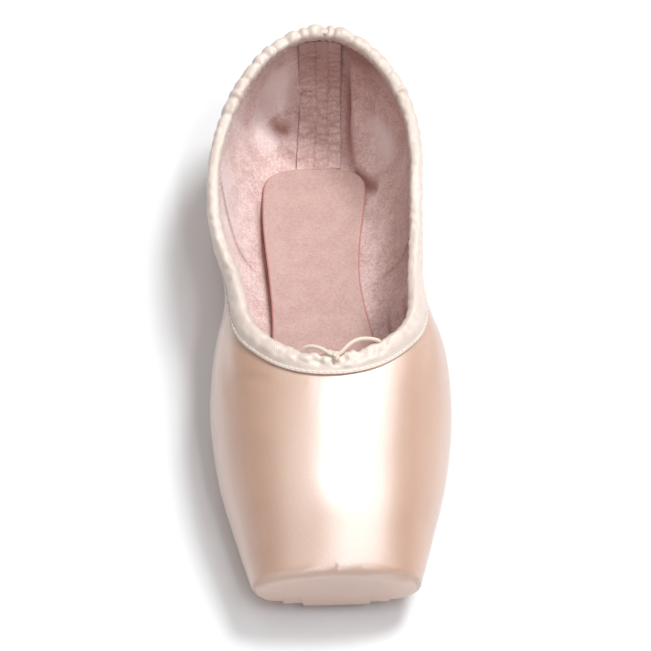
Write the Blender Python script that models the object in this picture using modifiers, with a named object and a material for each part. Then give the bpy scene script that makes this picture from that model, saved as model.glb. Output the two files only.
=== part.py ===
"""A pointe shoe: satin upper with a stiff box, drawstring casing, sueded insole and leather outsole.

The toe points along -Y and the floor is at Z = 0. All sizes are in metres.
"""

from collections import namedtuple
from math import pi

import bmesh
import bpy
import numpy as np
from mathutils import Matrix

# Main sizes of the last
SHOE_LENGTH = 0.2280
BALL_WIDTH = 0.0874
INSTEP_HEIGHT = 0.0520
PLATFORM_WIDTH = 0.0580
PLATFORM_TOP = 0.0305
COLLAR_WIDTH = 0.0768
RIM_RADIUS = 0.0036
TOE_SPRING = 0.0014
ARCH_RISE = 0.0018

# Collar line, from the throat round to the back of the heel
VAMP_LENGTH = 0.0745
SIDE_HEIGHT = 0.0430
THROAT_SLOPE = 0.1
HEEL_HEIGHT = 0.0560

# Rounding of the heel as seen from above, at the seat and at the collar, and its side profile
HEEL_ROUND_LOW = 0.0340
HEEL_ROUND_HIGH = 0.0660
HEEL_BULGE_HEIGHT = 0.0220
HEEL_TUCK = 0.0075
HEEL_UNDERCUT = 0.0090

# Walls and layers
WALL = 0.0016
BOX_WALL = 0.0030
BOX_LENGTH = 0.0500
SOLE_THICKNESS = 0.0028
INSOLE_THICKNESS = 0.0018
GAP = 0.0003

# Outsole, insole and the opening between them, under which the upper is turned in
OUTSOLE_WIDTH = 0.0480
OUTSOLE_TOE_SETBACK = 0.0210
OUTSOLE_HEEL_SETBACK = 0.0150
INSOLE_WIDTH = 0.0400
INSOLE_TOE_SETBACK = 0.0150
INSOLE_HEEL_SETBACK = 0.0365
INSOLE_ASIDE = 0.0010
OUTSOLE_ROUND = 0.0180
INSOLE_TOE_ROUND = 0.0160
INSOLE_HEEL_ROUND = 0.0160
LASTING_MARGIN = 0.0080
PLEAT_DEPTH = 0.0005

# Drawstring casing over the raw edge of the upper, and the heel strip inside
CASING_WALL = 0.0009
CASING_OUTSIDE = 0.0074
CASING_INSIDE = 0.0050
STRIP_WIDTH = 0.0180
STRIP_THICKNESS = 0.0009
CORD_DIAMETER = 0.0015

# Mesh steps
HALF_COLUMNS = 47
ROWS = 17
FINE_STEPS = 180

TOE = -SHOE_LENGTH / 2
HEEL = SHOE_LENGTH / 2
THROAT = TOE + VAMP_LENGTH
CENTRE_HEIGHT = 0.40 * INSTEP_HEIGHT

# Each column of the upper's mesh is a slice straight down through the last. The slices fan out
# from one point over the toe and from another over the heel, and lie square to the shoe between them.
TOE_FAN = THROAT + 0.28 * VAMP_LENGTH
HEEL_FAN = HEEL - 0.80 * HEEL_ROUND_HIGH

# along: share of the length from the platform. belt: widest width. belt_height and crown: heights
# of the widest place and of the top. turn and shoulder: how square the section is below and above.
# shift: how far the last leans sideways there, as a share of the collar's width.
Section = namedtuple("Section", "along belt belt_height crown turn shoulder shift")
SECTIONS = (
    Section(0.000, PLATFORM_WIDTH, 0.330 * INSTEP_HEIGHT, PLATFORM_TOP, 2.3, 2.1, 0.000),
    Section(0.075, 0.775 * BALL_WIDTH, 0.330 * INSTEP_HEIGHT, 0.740 * INSTEP_HEIGHT, 2.3, 2.1, 0.000),
    Section(0.155, 0.890 * BALL_WIDTH, 0.335 * INSTEP_HEIGHT, 0.860 * INSTEP_HEIGHT, 2.6, 2.1, 0.000),
    Section(0.230, 0.964 * BALL_WIDTH, 0.340 * INSTEP_HEIGHT, 0.950 * INSTEP_HEIGHT, 2.8, 2.1, 0.000),
    Section(0.345, 1.000 * BALL_WIDTH, 0.360 * INSTEP_HEIGHT, 1.040 * INSTEP_HEIGHT, 2.9, 2.2, 0.000),
    Section(0.430, 0.945 * BALL_WIDTH, 0.420 * INSTEP_HEIGHT, 1.100 * INSTEP_HEIGHT, 2.7, 2.2, -0.002),
    Section(0.500, 0.955 * COLLAR_WIDTH, 0.540 * INSTEP_HEIGHT, 1.170 * INSTEP_HEIGHT, 2.5, 2.2, -0.016),
    Section(0.580, 0.960 * COLLAR_WIDTH, 0.720 * INSTEP_HEIGHT, 1.240 * INSTEP_HEIGHT, 2.4, 2.2, -0.042),
    Section(0.680, 1.000 * COLLAR_WIDTH, 0.860 * INSTEP_HEIGHT, 1.310 * INSTEP_HEIGHT, 2.4, 2.2, -0.052),
    Section(0.800, 1.000 * COLLAR_WIDTH, 0.930 * INSTEP_HEIGHT, 1.380 * INSTEP_HEIGHT, 2.4, 2.2, -0.030),
    Section(1.000, 1.000 * COLLAR_WIDTH, 0.960 * INSTEP_HEIGHT, 1.450 * INSTEP_HEIGHT, 2.4, 2.2, -0.004),
)

# back: share of the way from the throat to the heel. height: of the collar line above the floor.
Collar = namedtuple("Collar", "back height")
COLLAR_LINE = (
    Collar(0.000, 1.034 * INSTEP_HEIGHT),
    Collar(0.028, 1.012 * INSTEP_HEIGHT),
    Collar(0.056, 0.990 * INSTEP_HEIGHT),
    Collar(0.090, 0.958 * INSTEP_HEIGHT),
    Collar(0.130, 0.930 * INSTEP_HEIGHT),
    Collar(0.190, 0.905 * INSTEP_HEIGHT),
    Collar(0.280, 1.040 * SIDE_HEIGHT),
    Collar(0.420, 1.000 * SIDE_HEIGHT),
    Collar(0.560, 1.000 * SIDE_HEIGHT),
    Collar(0.720, 1.070 * SIDE_HEIGHT),
    Collar(0.880, 0.925 * HEEL_HEIGHT),
    Collar(1.000, 1.000 * HEEL_HEIGHT),
)

# along: share of the piece's own length from its front end. width: before the ends are rounded.
Width = namedtuple("Width", "along width")
OUTSOLE_WIDTHS = (
    Width(0.00, 0.90 * OUTSOLE_WIDTH),
    Width(0.14, 0.96 * OUTSOLE_WIDTH),
    Width(0.28, 1.00 * OUTSOLE_WIDTH),
    Width(0.42, 0.86 * OUTSOLE_WIDTH),
    Width(0.58, 0.62 * OUTSOLE_WIDTH),
    Width(0.72, 0.60 * OUTSOLE_WIDTH),
    Width(0.88, 0.70 * OUTSOLE_WIDTH),
    Width(1.00, 0.72 * OUTSOLE_WIDTH),
)
INSOLE_WIDTHS = (
    Width(0.00, 1.06 * INSOLE_WIDTH),
    Width(0.18, 1.16 * INSOLE_WIDTH),
    Width(0.36, 1.18 * INSOLE_WIDTH),
    Width(0.56, 0.93 * INSOLE_WIDTH),
    Width(0.72, 0.87 * INSOLE_WIDTH),
    Width(0.86, 0.97 * INSOLE_WIDTH),
    Width(1.00, 1.00 * INSOLE_WIDTH),
)
Outline = namedtuple("Outline", "front back widths front_round back_round squareness")
OUTSOLE = Outline(
    TOE + OUTSOLE_TOE_SETBACK, HEEL - OUTSOLE_HEEL_SETBACK, OUTSOLE_WIDTHS, OUTSOLE_ROUND, OUTSOLE_ROUND, 2.2
)
INSOLE = Outline(
    TOE + INSOLE_TOE_SETBACK, HEEL - INSOLE_HEEL_SETBACK, INSOLE_WIDTHS, INSOLE_TOE_ROUND, INSOLE_HEEL_ROUND, 2.6
)

# The drawstring's two loops. across: along +X from the middle. back and up: from the top edge of the
# casing at that place.
Bend = namedtuple("Bend", "across back up")
LEFT_LOOP = (
    Bend(-0.0092, 0.0012, 0.0011),
    Bend(-0.0074, 0.0017, 0.0015),
    Bend(-0.0052, 0.0016, 0.0018),
    Bend(-0.0032, 0.0008, 0.0018),
    Bend(-0.0012, -0.0006, 0.0015),
    Bend(0.0002, -0.0018, 0.0014),
)
RIGHT_LOOP = (
    Bend(0.0031, -0.0018, 0.0014),
    Bend(0.0042, -0.0004, 0.0018),
    Bend(0.0062, 0.0010, 0.0022),
    Bend(0.0088, 0.0018, 0.0023),
    Bend(0.0118, 0.0021, 0.0020),
    Bend(0.0144, 0.0018, 0.0015),
    Bend(0.0162, 0.0012, 0.0011),
)


def curve_through(knots, values):
    """A curve through the points whose bending never jumps: a natural cubic spline."""
    knots, values = np.asarray(knots, float), np.asarray(values, float)
    step = np.diff(knots)
    count = len(knots)
    matrix, right = np.eye(count), np.zeros(count)
    for i in range(1, count - 1):
        matrix[i, i - 1 : i + 2] = step[i - 1], 2 * (step[i - 1] + step[i]), step[i]
        right[i] = 6 * ((values[i + 1] - values[i]) / step[i] - (values[i] - values[i - 1]) / step[i - 1])
    bend = np.linalg.solve(matrix, right)

    def at(x):
        x = np.clip(x, knots[0], knots[-1])
        i = np.clip(np.searchsorted(knots, x) - 1, 0, count - 2)
        before, after, width = x - knots[i], knots[i + 1] - x, step[i]
        return (
            (bend[i] * after**3 + bend[i + 1] * before**3) / (6 * width)
            + (values[i] / width - bend[i] * width / 6) * after
            + (values[i + 1] / width - bend[i + 1] * width / 6) * before
        )

    return at


def table_curve(rows, column):
    """A table's column as a curve of its first column."""
    return curve_through([row[0] for row in rows], [getattr(row, column) for row in rows])


def smoothstep(x, low, high):
    share = np.clip((x - low) / (high - low), 0, 1)
    return share * share * (3 - 2 * share)


belt_of, belt_height_of, crown_of, turn_of, shoulder_of, shift_of = (
    table_curve(SECTIONS, column) for column in Section._fields[1:]
)
collar_curve = table_curve(COLLAR_LINE, "height")


def along(y):
    return (y - TOE) / SHOE_LENGTH


def collar_height_of(back):
    """Height of the collar line, which starts on the last's crown at the throat."""
    to_crown = crown_of(along(THROAT)) - COLLAR_LINE[0].height
    return collar_curve(back) + to_crown * (1 - smoothstep(back, 0, COLLAR_LINE[4].back))


def sole_lift(y):
    """How far the underside of the outsole is off the floor: toe spring and arch, and 0 on the two flats."""
    spring_start, arch_front, arch_back = (TOE + share * SHOE_LENGTH for share in (0.20, 0.44, 0.78))
    spring = TOE_SPRING * np.clip((spring_start - y) / (spring_start - TOE), 0, 1) ** 2
    arch = ARCH_RISE * np.sin(pi * np.clip((y - arch_front) / (arch_back - arch_front), 0, 1)) ** 2
    return spring + arch


def underside(y):
    """Height of the middle of the last's underside."""
    return sole_lift(y) + SOLE_THICKNESS + GAP


def heel_back(z):
    """Side profile of the heel: furthest back at the bulge, tucked in above and cut under below."""
    above = np.clip((z - HEEL_BULGE_HEIGHT) / (HEEL_HEIGHT - HEEL_BULGE_HEIGHT), 0, 2)
    below = np.clip((HEEL_BULGE_HEIGHT - z) / (HEEL_BULGE_HEIGHT - SOLE_THICKNESS), 0, 1)
    return HEEL - HEEL_TUCK * above**2 - HEEL_UNDERCUT * below**3


def rim_inset(y):
    """How far the rounded rim of the platform draws the section in."""
    near = np.clip(RIM_RADIUS - (y - TOE), 0, RIM_RADIUS)
    return RIM_RADIUS - np.sqrt(RIM_RADIUS**2 - near**2)


def half_width(y, z):
    """Half the width of the last at a place in its side view. Negative outside the side view."""
    share = along(y)
    inset = rim_inset(y)
    belt, floor, crown = belt_of(share) / 2 - inset, underside(y) + inset, crown_of(share) - inset
    middle = belt_height_of(share)
    below = np.clip((middle - z) / (middle - floor), 0, 1)
    over = np.clip((z - middle) / (crown - middle), 0, 1)
    turn, shoulder = turn_of(share), shoulder_of(share)
    lower = (1 - below**turn) ** (1 / turn)
    upper = (1 - over**shoulder) ** (1 / shoulder)
    heel_round = HEEL_ROUND_LOW + (HEEL_ROUND_HIGH - HEEL_ROUND_LOW) * smoothstep(z, 0, HEEL_HEIGHT)
    into_heel = np.clip(1 - (heel_back(z) - y) / heel_round, 0, 1)
    width = belt * lower * upper * np.sqrt(1 - into_heel**2)
    outside = (z < floor) | (z > crown) | (y < TOE) | (y > heel_back(z))
    return np.where(outside, -1.0, width)


def underside_at(x, y):
    """Height of the last's underside beside its middle."""
    share = along(y)
    floor, middle = underside(y), belt_height_of(share)
    out = np.clip(np.abs(x) / (belt_of(share) / 2), 0, 0.98)
    turn = turn_of(share)
    return middle - (middle - floor) * (1 - out**turn) ** (1 / turn)


def lean(points):
    """The points moved sideways with the curve of the last."""
    moved = np.array(points, float)
    moved[..., 0] += shift_of(along(moved[..., 1])) * COLLAR_WIDTH
    return moved


def around(line):
    """Which slice each point of half a line lies in: -1 at the toe, 0 to 1 beside the foot, 2 at the heel."""
    x, y = line[:, 0], line[:, 1]
    toe = np.arctan2(x, TOE_FAN - y) / (pi / 2) - 1
    heel = 2 - np.arctan2(x, y - HEEL_FAN) / (pi / 2)
    side = (y - TOE_FAN) / (HEEL_FAN - TOE_FAN)
    return np.where(y < TOE_FAN, toe, np.where(y > HEEL_FAN, heel, side))


def at_slices(line, slices):
    """The points where half a line crosses the slices."""
    places = around(line)
    order = np.argsort(places)
    return np.column_stack([np.interp(slices, places[order], line[order, axis]) for axis in range(3)])


def collar_half():
    """Half of the collar line on the last, from the throat to the heel."""
    back = (1 - np.cos(np.linspace(0, pi, 600))) / 2
    y = THROAT + back * (heel_back(HEEL_HEIGHT) - THROAT)
    z = np.minimum(collar_height_of(back), crown_of(along(y)) - THROAT_SLOPE * (y - THROAT))
    x = np.clip(half_width(y, z), 0, None)
    x[0] = x[-1] = 0
    return np.column_stack([x, y, z])


def belt_half():
    """Half of the last's outline seen from above, with the flat of the platform."""
    height = belt_height_of(0)
    flat = np.linspace(0, half_width(TOE, height), 60)[:-1]
    y = TOE + (1 - np.cos(np.linspace(0, pi, 900))) / 2 * (heel_back(height) - TOE)
    x = np.clip(half_width(y, height), 0, None)
    x[-1] = 0
    x, y = np.concatenate([flat, x]), np.concatenate([np.full(len(flat), TOE), y])
    return np.column_stack([x, y, np.full(len(x), height)])


def outline_half(outline, count, inset=0.0):
    """Half of a flat piece's outline, from its front end to its back end."""
    turn = np.sin(np.linspace(0, pi / 2, count // 3))
    front, back = outline.front + inset, outline.back - inset
    power = 2 / outline.squareness
    rise = turn**power
    run = 1 - (1 - turn**2) ** (power / 2)
    middle = np.linspace(front + outline.front_round, back - outline.back_round, count // 3 + 2)[1:-1]
    y = np.concatenate([front + outline.front_round * run, middle, back - outline.back_round * run[::-1]])
    rounding = np.concatenate([rise, np.ones(len(middle)), rise[::-1]])
    share = (y - outline.front) / (outline.back - outline.front)
    x = (table_curve(outline.widths, "width")(share) / 2 - inset) * rounding
    return np.column_stack([x, y, underside(y)])


def opening_half():
    """Half of the lasting opening, inside both the outsole and the insole."""
    outer, inner = (outline_half(outline, 120, LASTING_MARGIN) for outline in (OUTSOLE, INSOLE))
    front, back = max(outer[0, 1], inner[0, 1]), min(outer[-1, 1], inner[-1, 1])
    y = front + (1 - np.cos(np.linspace(0, pi, 200))) / 2 * (back - front)
    narrow = np.minimum(*(np.interp(y, line[:, 1], line[:, 0]) for line in (outer, inner)))
    ends = np.clip((y - front) * (back - y) / (LASTING_MARGIN * (back - front)), 0, 1)
    x = narrow * np.sqrt(1 - (1 - ends) ** 2)
    return np.column_stack([x, y, underside_at(x, y)])


def paths_over(centres, ways, starts, ends):
    """Ways over the last from the starts to the ends, each in the upright plane of its centre and way."""

    def slope(points):
        out = ((points - centres)[:, :2] * ways).sum(axis=1)
        return np.arctan2(points[:, 2] - CENTRE_HEIGHT, out)

    angle = np.linspace(slope(starts), slope(ends), FINE_STEPS, axis=1)[..., None]
    rays = np.concatenate([np.cos(angle) * ways[:, None], np.sin(angle)], axis=-1)
    low, high = np.zeros(angle.shape), np.full(angle.shape, SHOE_LENGTH)
    for _ in range(40):
        middle = (low + high) / 2
        points = centres[:, None] + rays * middle
        within = (np.abs(points[..., 0]) < half_width(points[..., 1], points[..., 2]))[..., None]
        low, high = np.where(within, middle, low), np.where(within, high, middle)
    paths = centres[:, None] + rays * low
    paths[:, 0], paths[:, -1] = starts, ends
    return paths


def slice_paths(slices):
    """For each slice, the way over the last from the collar line down and under to the lasting opening."""
    toe_turn, heel_turn = np.clip(slices + 1, 0, 1), np.clip(slices - 1, 0, 1)
    bearing = (toe_turn + heel_turn) * pi / 2
    ways = np.column_stack([np.sin(bearing), -np.cos(bearing)])
    middle = TOE_FAN + np.clip(slices, 0, 1) * (HEEL_FAN - TOE_FAN)
    centres = np.column_stack([0 * middle, middle, np.full(len(slices), CENTRE_HEIGHT)])
    return paths_over(centres, ways, at_slices(collar_half(), slices), at_slices(opening_half(), slices))


def spread(path, count, turn_length):
    """Points along a path, each step covering as much length, plus turn_length for each radian turned."""
    steps = np.diff(path, axis=0)
    lengths = np.maximum(np.linalg.norm(steps, axis=1), 1e-9)
    ways = steps / lengths[:, None]
    turns = np.arccos(np.clip((ways[1:] * ways[:-1]).sum(axis=1), -1, 1)) * turn_length
    weights = lengths.copy()
    weights[1:] += turns / 2
    weights[:-1] += turns / 2
    position = np.concatenate([[0], np.cumsum(weights)])
    wanted = np.linspace(0, position[-1], count)
    return np.column_stack([np.interp(wanted, position, path[:, axis]) for axis in range(3)])


def at_lengths(path, lengths):
    """Points at the lengths along a path. A negative length runs on straight before its start."""
    steps = np.linalg.norm(np.diff(path, axis=0), axis=1)
    position = np.concatenate([[0], np.cumsum(steps)])
    start_way = (path[4] - path[0]) / np.linalg.norm(path[4] - path[0])
    points = np.column_stack([np.interp(lengths, position, path[:, axis]) for axis in range(3)])
    return points + np.minimum(lengths, 0)[:, None] * start_way


def whole_round(half):
    """The slices of one side and their mirror image, as one ring round the shoe."""
    return np.concatenate([half, half[-2:0:-1] * [-1, 1, 1]])


def even_slices(count):
    """Slices that cut the outline seen from above into equal steps, from the toe to the heel."""
    line = belt_half()
    position = np.concatenate([[0], np.cumsum(np.linalg.norm(np.diff(line, axis=0), axis=1))])
    slices = np.interp(np.linspace(0, position[-1], count), position, around(line))
    slices[0], slices[-1] = -1, 2
    return slices


def outward(grid, closed):
    """Unit vectors pointing away from the foot at each point of a grid of slices by places down them."""
    if closed:
        across = np.roll(grid, -1, axis=0) - np.roll(grid, 1, axis=0)
    else:
        across = np.gradient(grid, axis=0)
    down = np.gradient(grid, axis=1)
    away = np.cross(down, across)
    return away / np.linalg.norm(away, axis=-1, keepdims=True)


def wall_at(y):
    """Thickness of the upper: the stiffened box at the toe, then satin and lining."""
    return BOX_WALL + (WALL - BOX_WALL) * smoothstep(y, TOE + BOX_LENGTH, TOE + 1.3 * BOX_LENGTH)


def principled(name, colour, roughness):
    material = bpy.data.materials.new(name)
    material.use_nodes = True
    shader = material.node_tree.nodes["Principled BSDF"]
    shader.inputs["Base Color"].default_value = (*colour, 1)
    shader.inputs["Roughness"].default_value = roughness
    shader.inputs["Metallic"].default_value = 0
    material.diffuse_color = (*colour, 1)
    return material


def add_piece(name, data, material, collection):
    piece = bpy.data.objects.new(name, data)
    data.materials.append(material)
    collection.objects.link(piece)
    if isinstance(data, bpy.types.Mesh):
        data.shade_smooth()
        data.set_sharp_from_angle(angle=pi / 5)
    return piece


def grid_mesh(name, grid, round_columns, round_rows, capped=False):
    """A mesh of quads over a grid of points, closed up in either direction."""
    columns, rows = grid.shape[:2]
    mesh = bmesh.new()
    points = [[mesh.verts.new(point) for point in column] for column in grid]
    for i in range(columns if round_columns else columns - 1):
        for j in range(rows if round_rows else rows - 1):
            here, there = points[i], points[(i + 1) % columns]
            mesh.faces.new((here[j], here[(j + 1) % rows], there[(j + 1) % rows], there[j]))
    if capped:
        mesh.faces.new(points[0])
        mesh.faces.new(points[-1])
    data = bpy.data.meshes.new(name)
    mesh.normal_update()
    mesh.to_mesh(data)
    mesh.free()
    return data


def turned_out(data):
    """The closed mesh with all its faces pointing out."""
    mesh = bmesh.new()
    mesh.from_mesh(data)
    bmesh.ops.recalc_face_normals(mesh, faces=mesh.faces)
    mesh.to_mesh(data)
    mesh.free()
    return data


def pleated(grid):
    """The satin drawn under the toe in pleats, between the rim of the platform and the outsole."""
    y, z = grid[..., 1], grid[..., 2]
    belt = belt_height_of(along(y))
    under = smoothstep(0.75 * belt - z, 0, 0.4 * belt)
    reach = OUTSOLE.front + 0.3 * OUTSOLE.front_round
    near_toe = 1 - smoothstep(y, reach - LASTING_MARGIN, reach)
    ridge = PLEAT_DEPTH * (np.arange(len(grid)) % 2)[:, None] * under * near_toe
    return grid - outward(grid, True) * ridge[..., None]


def make_upper(material, collection):
    paths = slice_paths(even_slices(HALF_COLUMNS))
    half = np.array([spread(path, ROWS, 3 * RIM_RADIUS) for path in paths])
    grid = pleated(whole_round(half))
    data = grid_mesh("upper", lean(grid), True, False)
    upper = add_piece("upper", data, material, collection)
    group = upper.vertex_groups.new(name="wall")
    for index, y in enumerate(grid[..., 1].ravel()):
        group.add([index], float(wall_at(y) / BOX_WALL), "REPLACE")
    shell = upper.modifiers.new("Wall", "SOLIDIFY")
    shell.thickness = BOX_WALL
    shell.offset = -1
    shell.vertex_group = group.name
    shell.use_even_offset = True
    shell.use_quality_normals = True
    return upper


def casing_section():
    """The casing's closed section: places down the wall from its edge, and distances out of the wall."""
    outer, inner = GAP + CASING_WALL, -WALL - GAP - CASING_WALL
    middle = -WALL / 2
    return (
        (CASING_OUTSIDE, GAP),
        (0.92 * CASING_OUTSIDE, outer),
        (0.45 * CASING_OUTSIDE, outer),
        (0.0, outer),
        (-0.9 * CASING_WALL, 0.5 * (outer + middle)),
        (-GAP - CASING_WALL, middle),
        (-0.9 * CASING_WALL, 0.5 * (inner + middle)),
        (0.0, inner),
        (CASING_INSIDE, inner),
        (CASING_INSIDE, -WALL - GAP),
        (0.0, -WALL - GAP),
        (-GAP, -WALL),
        (-GAP, 0.0),
        (0.0, GAP),
        (0.45 * CASING_OUTSIDE, GAP),
    )


def on_wall(paths, section, closed):
    """Points at places down the wall and distances out of it, for each slice."""
    places = np.array([place for place, _ in section])
    distances = np.array([distance for _, distance in section])
    levels = np.unique(places)
    grid = np.array([at_lengths(path, levels) for path in paths])
    away = outward(grid, closed)
    index = np.searchsorted(levels, places)
    return grid[:, index] + away[:, index] * distances[:, None]


def make_casing(material, collection):
    ring = whole_round(slice_paths(even_slices(HALF_COLUMNS)))
    points = lean(on_wall(ring, casing_section(), True))
    data = turned_out(grid_mesh("collar_casing", points, True, True))
    return add_piece("collar_casing", data, material, collection)


def make_heel_strip(material, collection):
    """The suede strip down the inside of the heel and along to the insole."""
    line = collar_half()
    heel = line[line[:, 1] > HEEL_FAN][::-1]
    across = np.linspace(-STRIP_WIDTH / 2, STRIP_WIDTH / 2, 7)
    flat = np.full(len(across), INSOLE.back + LASTING_MARGIN / 4)
    top_y, top_z = (np.interp(np.abs(across), heel[:, 0], heel[:, axis]) for axis in (1, 2))
    starts = np.column_stack([across, top_y, top_z])
    ends = np.column_stack([across, flat, underside_at(across, flat)])
    centres = np.column_stack([across, 0 * across + HEEL_FAN, 0 * across + CENTRE_HEIGHT])
    paths = paths_over(centres, np.tile([0.0, 1.0], (len(across), 1)), starts, ends)[::-1]
    length = np.linalg.norm(np.diff(paths, axis=1), axis=2).sum(axis=1).min()
    near, far = -WALL - 1.5 * GAP, -WALL - 1.5 * GAP - STRIP_THICKNESS
    levels = np.linspace(CASING_INSIDE + 2 * GAP, length, 16)
    section = [(level, near) for level in levels] + [(level, far) for level in levels[::-1]]
    points = lean(on_wall(paths, section, False))
    data = turned_out(grid_mesh("heel_strip", points, False, True, True))
    return add_piece("heel_strip", data, material, collection)


def make_slab(name, outline, low, high, edge, material, collection):
    """A thin sole between two curved faces, its outline drawn in by edge at the lower face."""
    line = outline_half(outline, 30)[1:-1]
    across = np.linspace(-1, 1, 9)
    x_high, x_low = line[:, :1] * across, (line[:, :1] - edge) * across
    y = np.repeat(line[:, 1:2], len(across), axis=1)
    upper_face = np.stack([x_high, y, high(x_high, y)], axis=-1)
    lower_face = np.stack([x_low, y, low(x_low, y)], axis=-1)
    rings = np.concatenate([upper_face, lower_face[:, ::-1]], axis=1)
    data = turned_out(grid_mesh(name, lean(rings), False, True, True))
    return add_piece(name, data, material, collection)


def make_outsole(material, collection):
    def low(x, y):
        return sole_lift(y)

    def high(x, y):
        return underside_at(x, y) - GAP

    return make_slab("outsole", OUTSOLE, low, high, 0.4 * SOLE_THICKNESS, material, collection)


def make_insole(material, collection):
    def low(x, y):
        return underside_at(x - INSOLE_ASIDE, y) + wall_at(y) + 2 * GAP

    def high(x, y):
        return low(x, y) + INSOLE_THICKNESS

    insole = make_slab("insole", INSOLE, low, high, 0, material, collection)
    insole.data.transform(Matrix.Translation((-INSOLE_ASIDE, 0, 0)))
    return insole


def cord_points(bends):
    """A smooth route through the bends, with a point every two diameters."""
    line = collar_half()
    throat = line[line[:, 1] < TOE_FAN]
    across, back, up = np.array(bends).T
    edge_y, edge_z = (np.interp(np.abs(across), throat[:, 0], throat[:, axis]) for axis in (1, 2))
    route = np.column_stack([across, edge_y + back, edge_z + GAP + CASING_WALL + up])
    position = np.concatenate([[0], np.cumsum(np.linalg.norm(np.diff(route, axis=0), axis=1))])
    steps = np.linspace(0, position[-1], 2 + int(position[-1] / (1.2 * CORD_DIAMETER)))
    return np.column_stack([curve_through(position, route[:, axis])(steps) for axis in range(3)])


def make_cord(name, bends, material, collection):
    points = lean(cord_points(bends))
    data = bpy.data.curves.new(name, "CURVE")
    data.dimensions = "3D"
    data.bevel_depth = CORD_DIAMETER / 2
    data.bevel_resolution = 2
    data.use_fill_caps = True
    spline = data.splines.new("POLY")
    spline.points.add(len(points) - 1)
    for place, point in zip(spline.points, points):
        place.co = (*point, 1)
    return add_piece(name, data, material, collection)


def make_knot(material, collection):
    """The tight knot between the two loops, as one lump with a turn of cord round it."""
    left, right = (cord_points(bends) for bends in (LEFT_LOOP, RIGHT_LOOP))
    ends = lean(np.array([left[-1], right[0]]))
    middle, span = ends.mean(axis=0), ends[1, 0] - ends[0, 0] - 4 * GAP
    mesh = bmesh.new()
    bmesh.ops.create_uvsphere(mesh, u_segments=14, v_segments=10, radius=0.5)
    for vert in mesh.verts:
        waist = 1 - 0.18 * np.cos(4 * pi * vert.co.x) * (abs(vert.co.x) < 0.45)
        vert.co.x *= span
        vert.co.y *= 1.9 * CORD_DIAMETER * waist
        vert.co.z *= 1.7 * CORD_DIAMETER * waist
        vert.co += type(vert.co)(middle)
    data = bpy.data.meshes.new("drawstring_knot")
    mesh.to_mesh(data)
    mesh.free()
    return add_piece("drawstring_knot", data, material, collection)


def make_pointe_shoe():
    for existing in list(bpy.data.objects):
        bpy.data.objects.remove(existing, do_unlink=True)
    collection = bpy.data.collections.new("pointe_shoe")
    bpy.context.scene.collection.children.link(collection)
    satin = principled("peach satin", (0.80, 0.62, 0.53), 0.35)
    casing = principled("cream satin", (0.86, 0.74, 0.64), 0.45)
    suede = principled("pink suede", (0.62, 0.40, 0.37), 0.9)
    strip = principled("heel suede", (0.58, 0.37, 0.34), 0.9)
    leather = principled("sole leather", (0.66, 0.50, 0.38), 0.6)
    cord = principled("elastic cord", (0.84, 0.70, 0.60), 0.6)
    make_upper(satin, collection)
    make_casing(casing, collection)
    make_outsole(leather, collection)
    make_insole(suede, collection)
    make_heel_strip(strip, collection)
    make_cord("drawstring_left", LEFT_LOOP, cord, collection)
    make_cord("drawstring_right", RIGHT_LOOP, cord, collection)
    make_knot(cord, collection)


make_pointe_shoe()
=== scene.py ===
# %% [markdown]
# # A satin pointe shoe
#
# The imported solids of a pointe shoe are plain: a hollow upper, a casing round its collar, a sole
# outside, a sole inside, a strip up the heel and a drawstring. This notebook gives each of them the
# surface of the real piece. Almost everything lies on one shape, the last, which is the wooden foot
# that a shoe is made on. So the last comes first, as a few functions, and satin, suede, casing and
# seams are all laid over it at their own distances.
#
# The shoe points its toe along -Y, stands on Z = 0, and is measured in metres.

# %% Tools and frame
from collections import namedtuple
from math import pi

import bmesh
import bpy
import numpy as np
from mathutils import Matrix, Vector


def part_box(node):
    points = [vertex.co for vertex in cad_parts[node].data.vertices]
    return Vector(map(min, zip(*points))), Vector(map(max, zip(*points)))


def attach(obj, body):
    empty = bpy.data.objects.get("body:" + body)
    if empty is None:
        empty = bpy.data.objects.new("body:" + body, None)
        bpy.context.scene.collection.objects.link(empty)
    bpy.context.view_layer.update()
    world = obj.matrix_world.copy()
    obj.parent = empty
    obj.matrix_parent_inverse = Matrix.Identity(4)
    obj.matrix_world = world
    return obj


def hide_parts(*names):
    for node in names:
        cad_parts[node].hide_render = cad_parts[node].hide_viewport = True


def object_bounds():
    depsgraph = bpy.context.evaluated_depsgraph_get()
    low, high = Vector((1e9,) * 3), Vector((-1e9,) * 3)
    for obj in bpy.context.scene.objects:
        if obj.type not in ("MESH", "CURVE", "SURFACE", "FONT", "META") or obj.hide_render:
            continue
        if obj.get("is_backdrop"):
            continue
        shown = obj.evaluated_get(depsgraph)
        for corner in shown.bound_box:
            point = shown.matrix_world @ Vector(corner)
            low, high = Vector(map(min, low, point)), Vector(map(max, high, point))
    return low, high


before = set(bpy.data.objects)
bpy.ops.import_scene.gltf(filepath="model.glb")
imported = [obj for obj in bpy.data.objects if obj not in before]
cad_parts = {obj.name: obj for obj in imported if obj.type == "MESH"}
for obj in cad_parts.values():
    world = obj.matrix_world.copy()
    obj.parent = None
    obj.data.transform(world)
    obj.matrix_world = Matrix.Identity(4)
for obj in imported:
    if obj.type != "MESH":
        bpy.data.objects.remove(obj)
CAD_BOX = [list(corner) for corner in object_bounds()]


def add_object(name, data):
    """An object with its data, linked into the scene."""
    made = bpy.data.objects.new(name, data)
    bpy.context.scene.collection.objects.link(made)
    return made


def aim(made, place, target, upright):
    """Puts a camera or a lamp at its place, with its -Z axis to the target and one more axis upright."""
    made.location, made.rotation_mode = place, "QUATERNION"
    made.rotation_quaternion = (Vector(target) - Vector(place)).to_track_quat("-Z", upright)


print("nodes to dress:", sorted(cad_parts))

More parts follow.
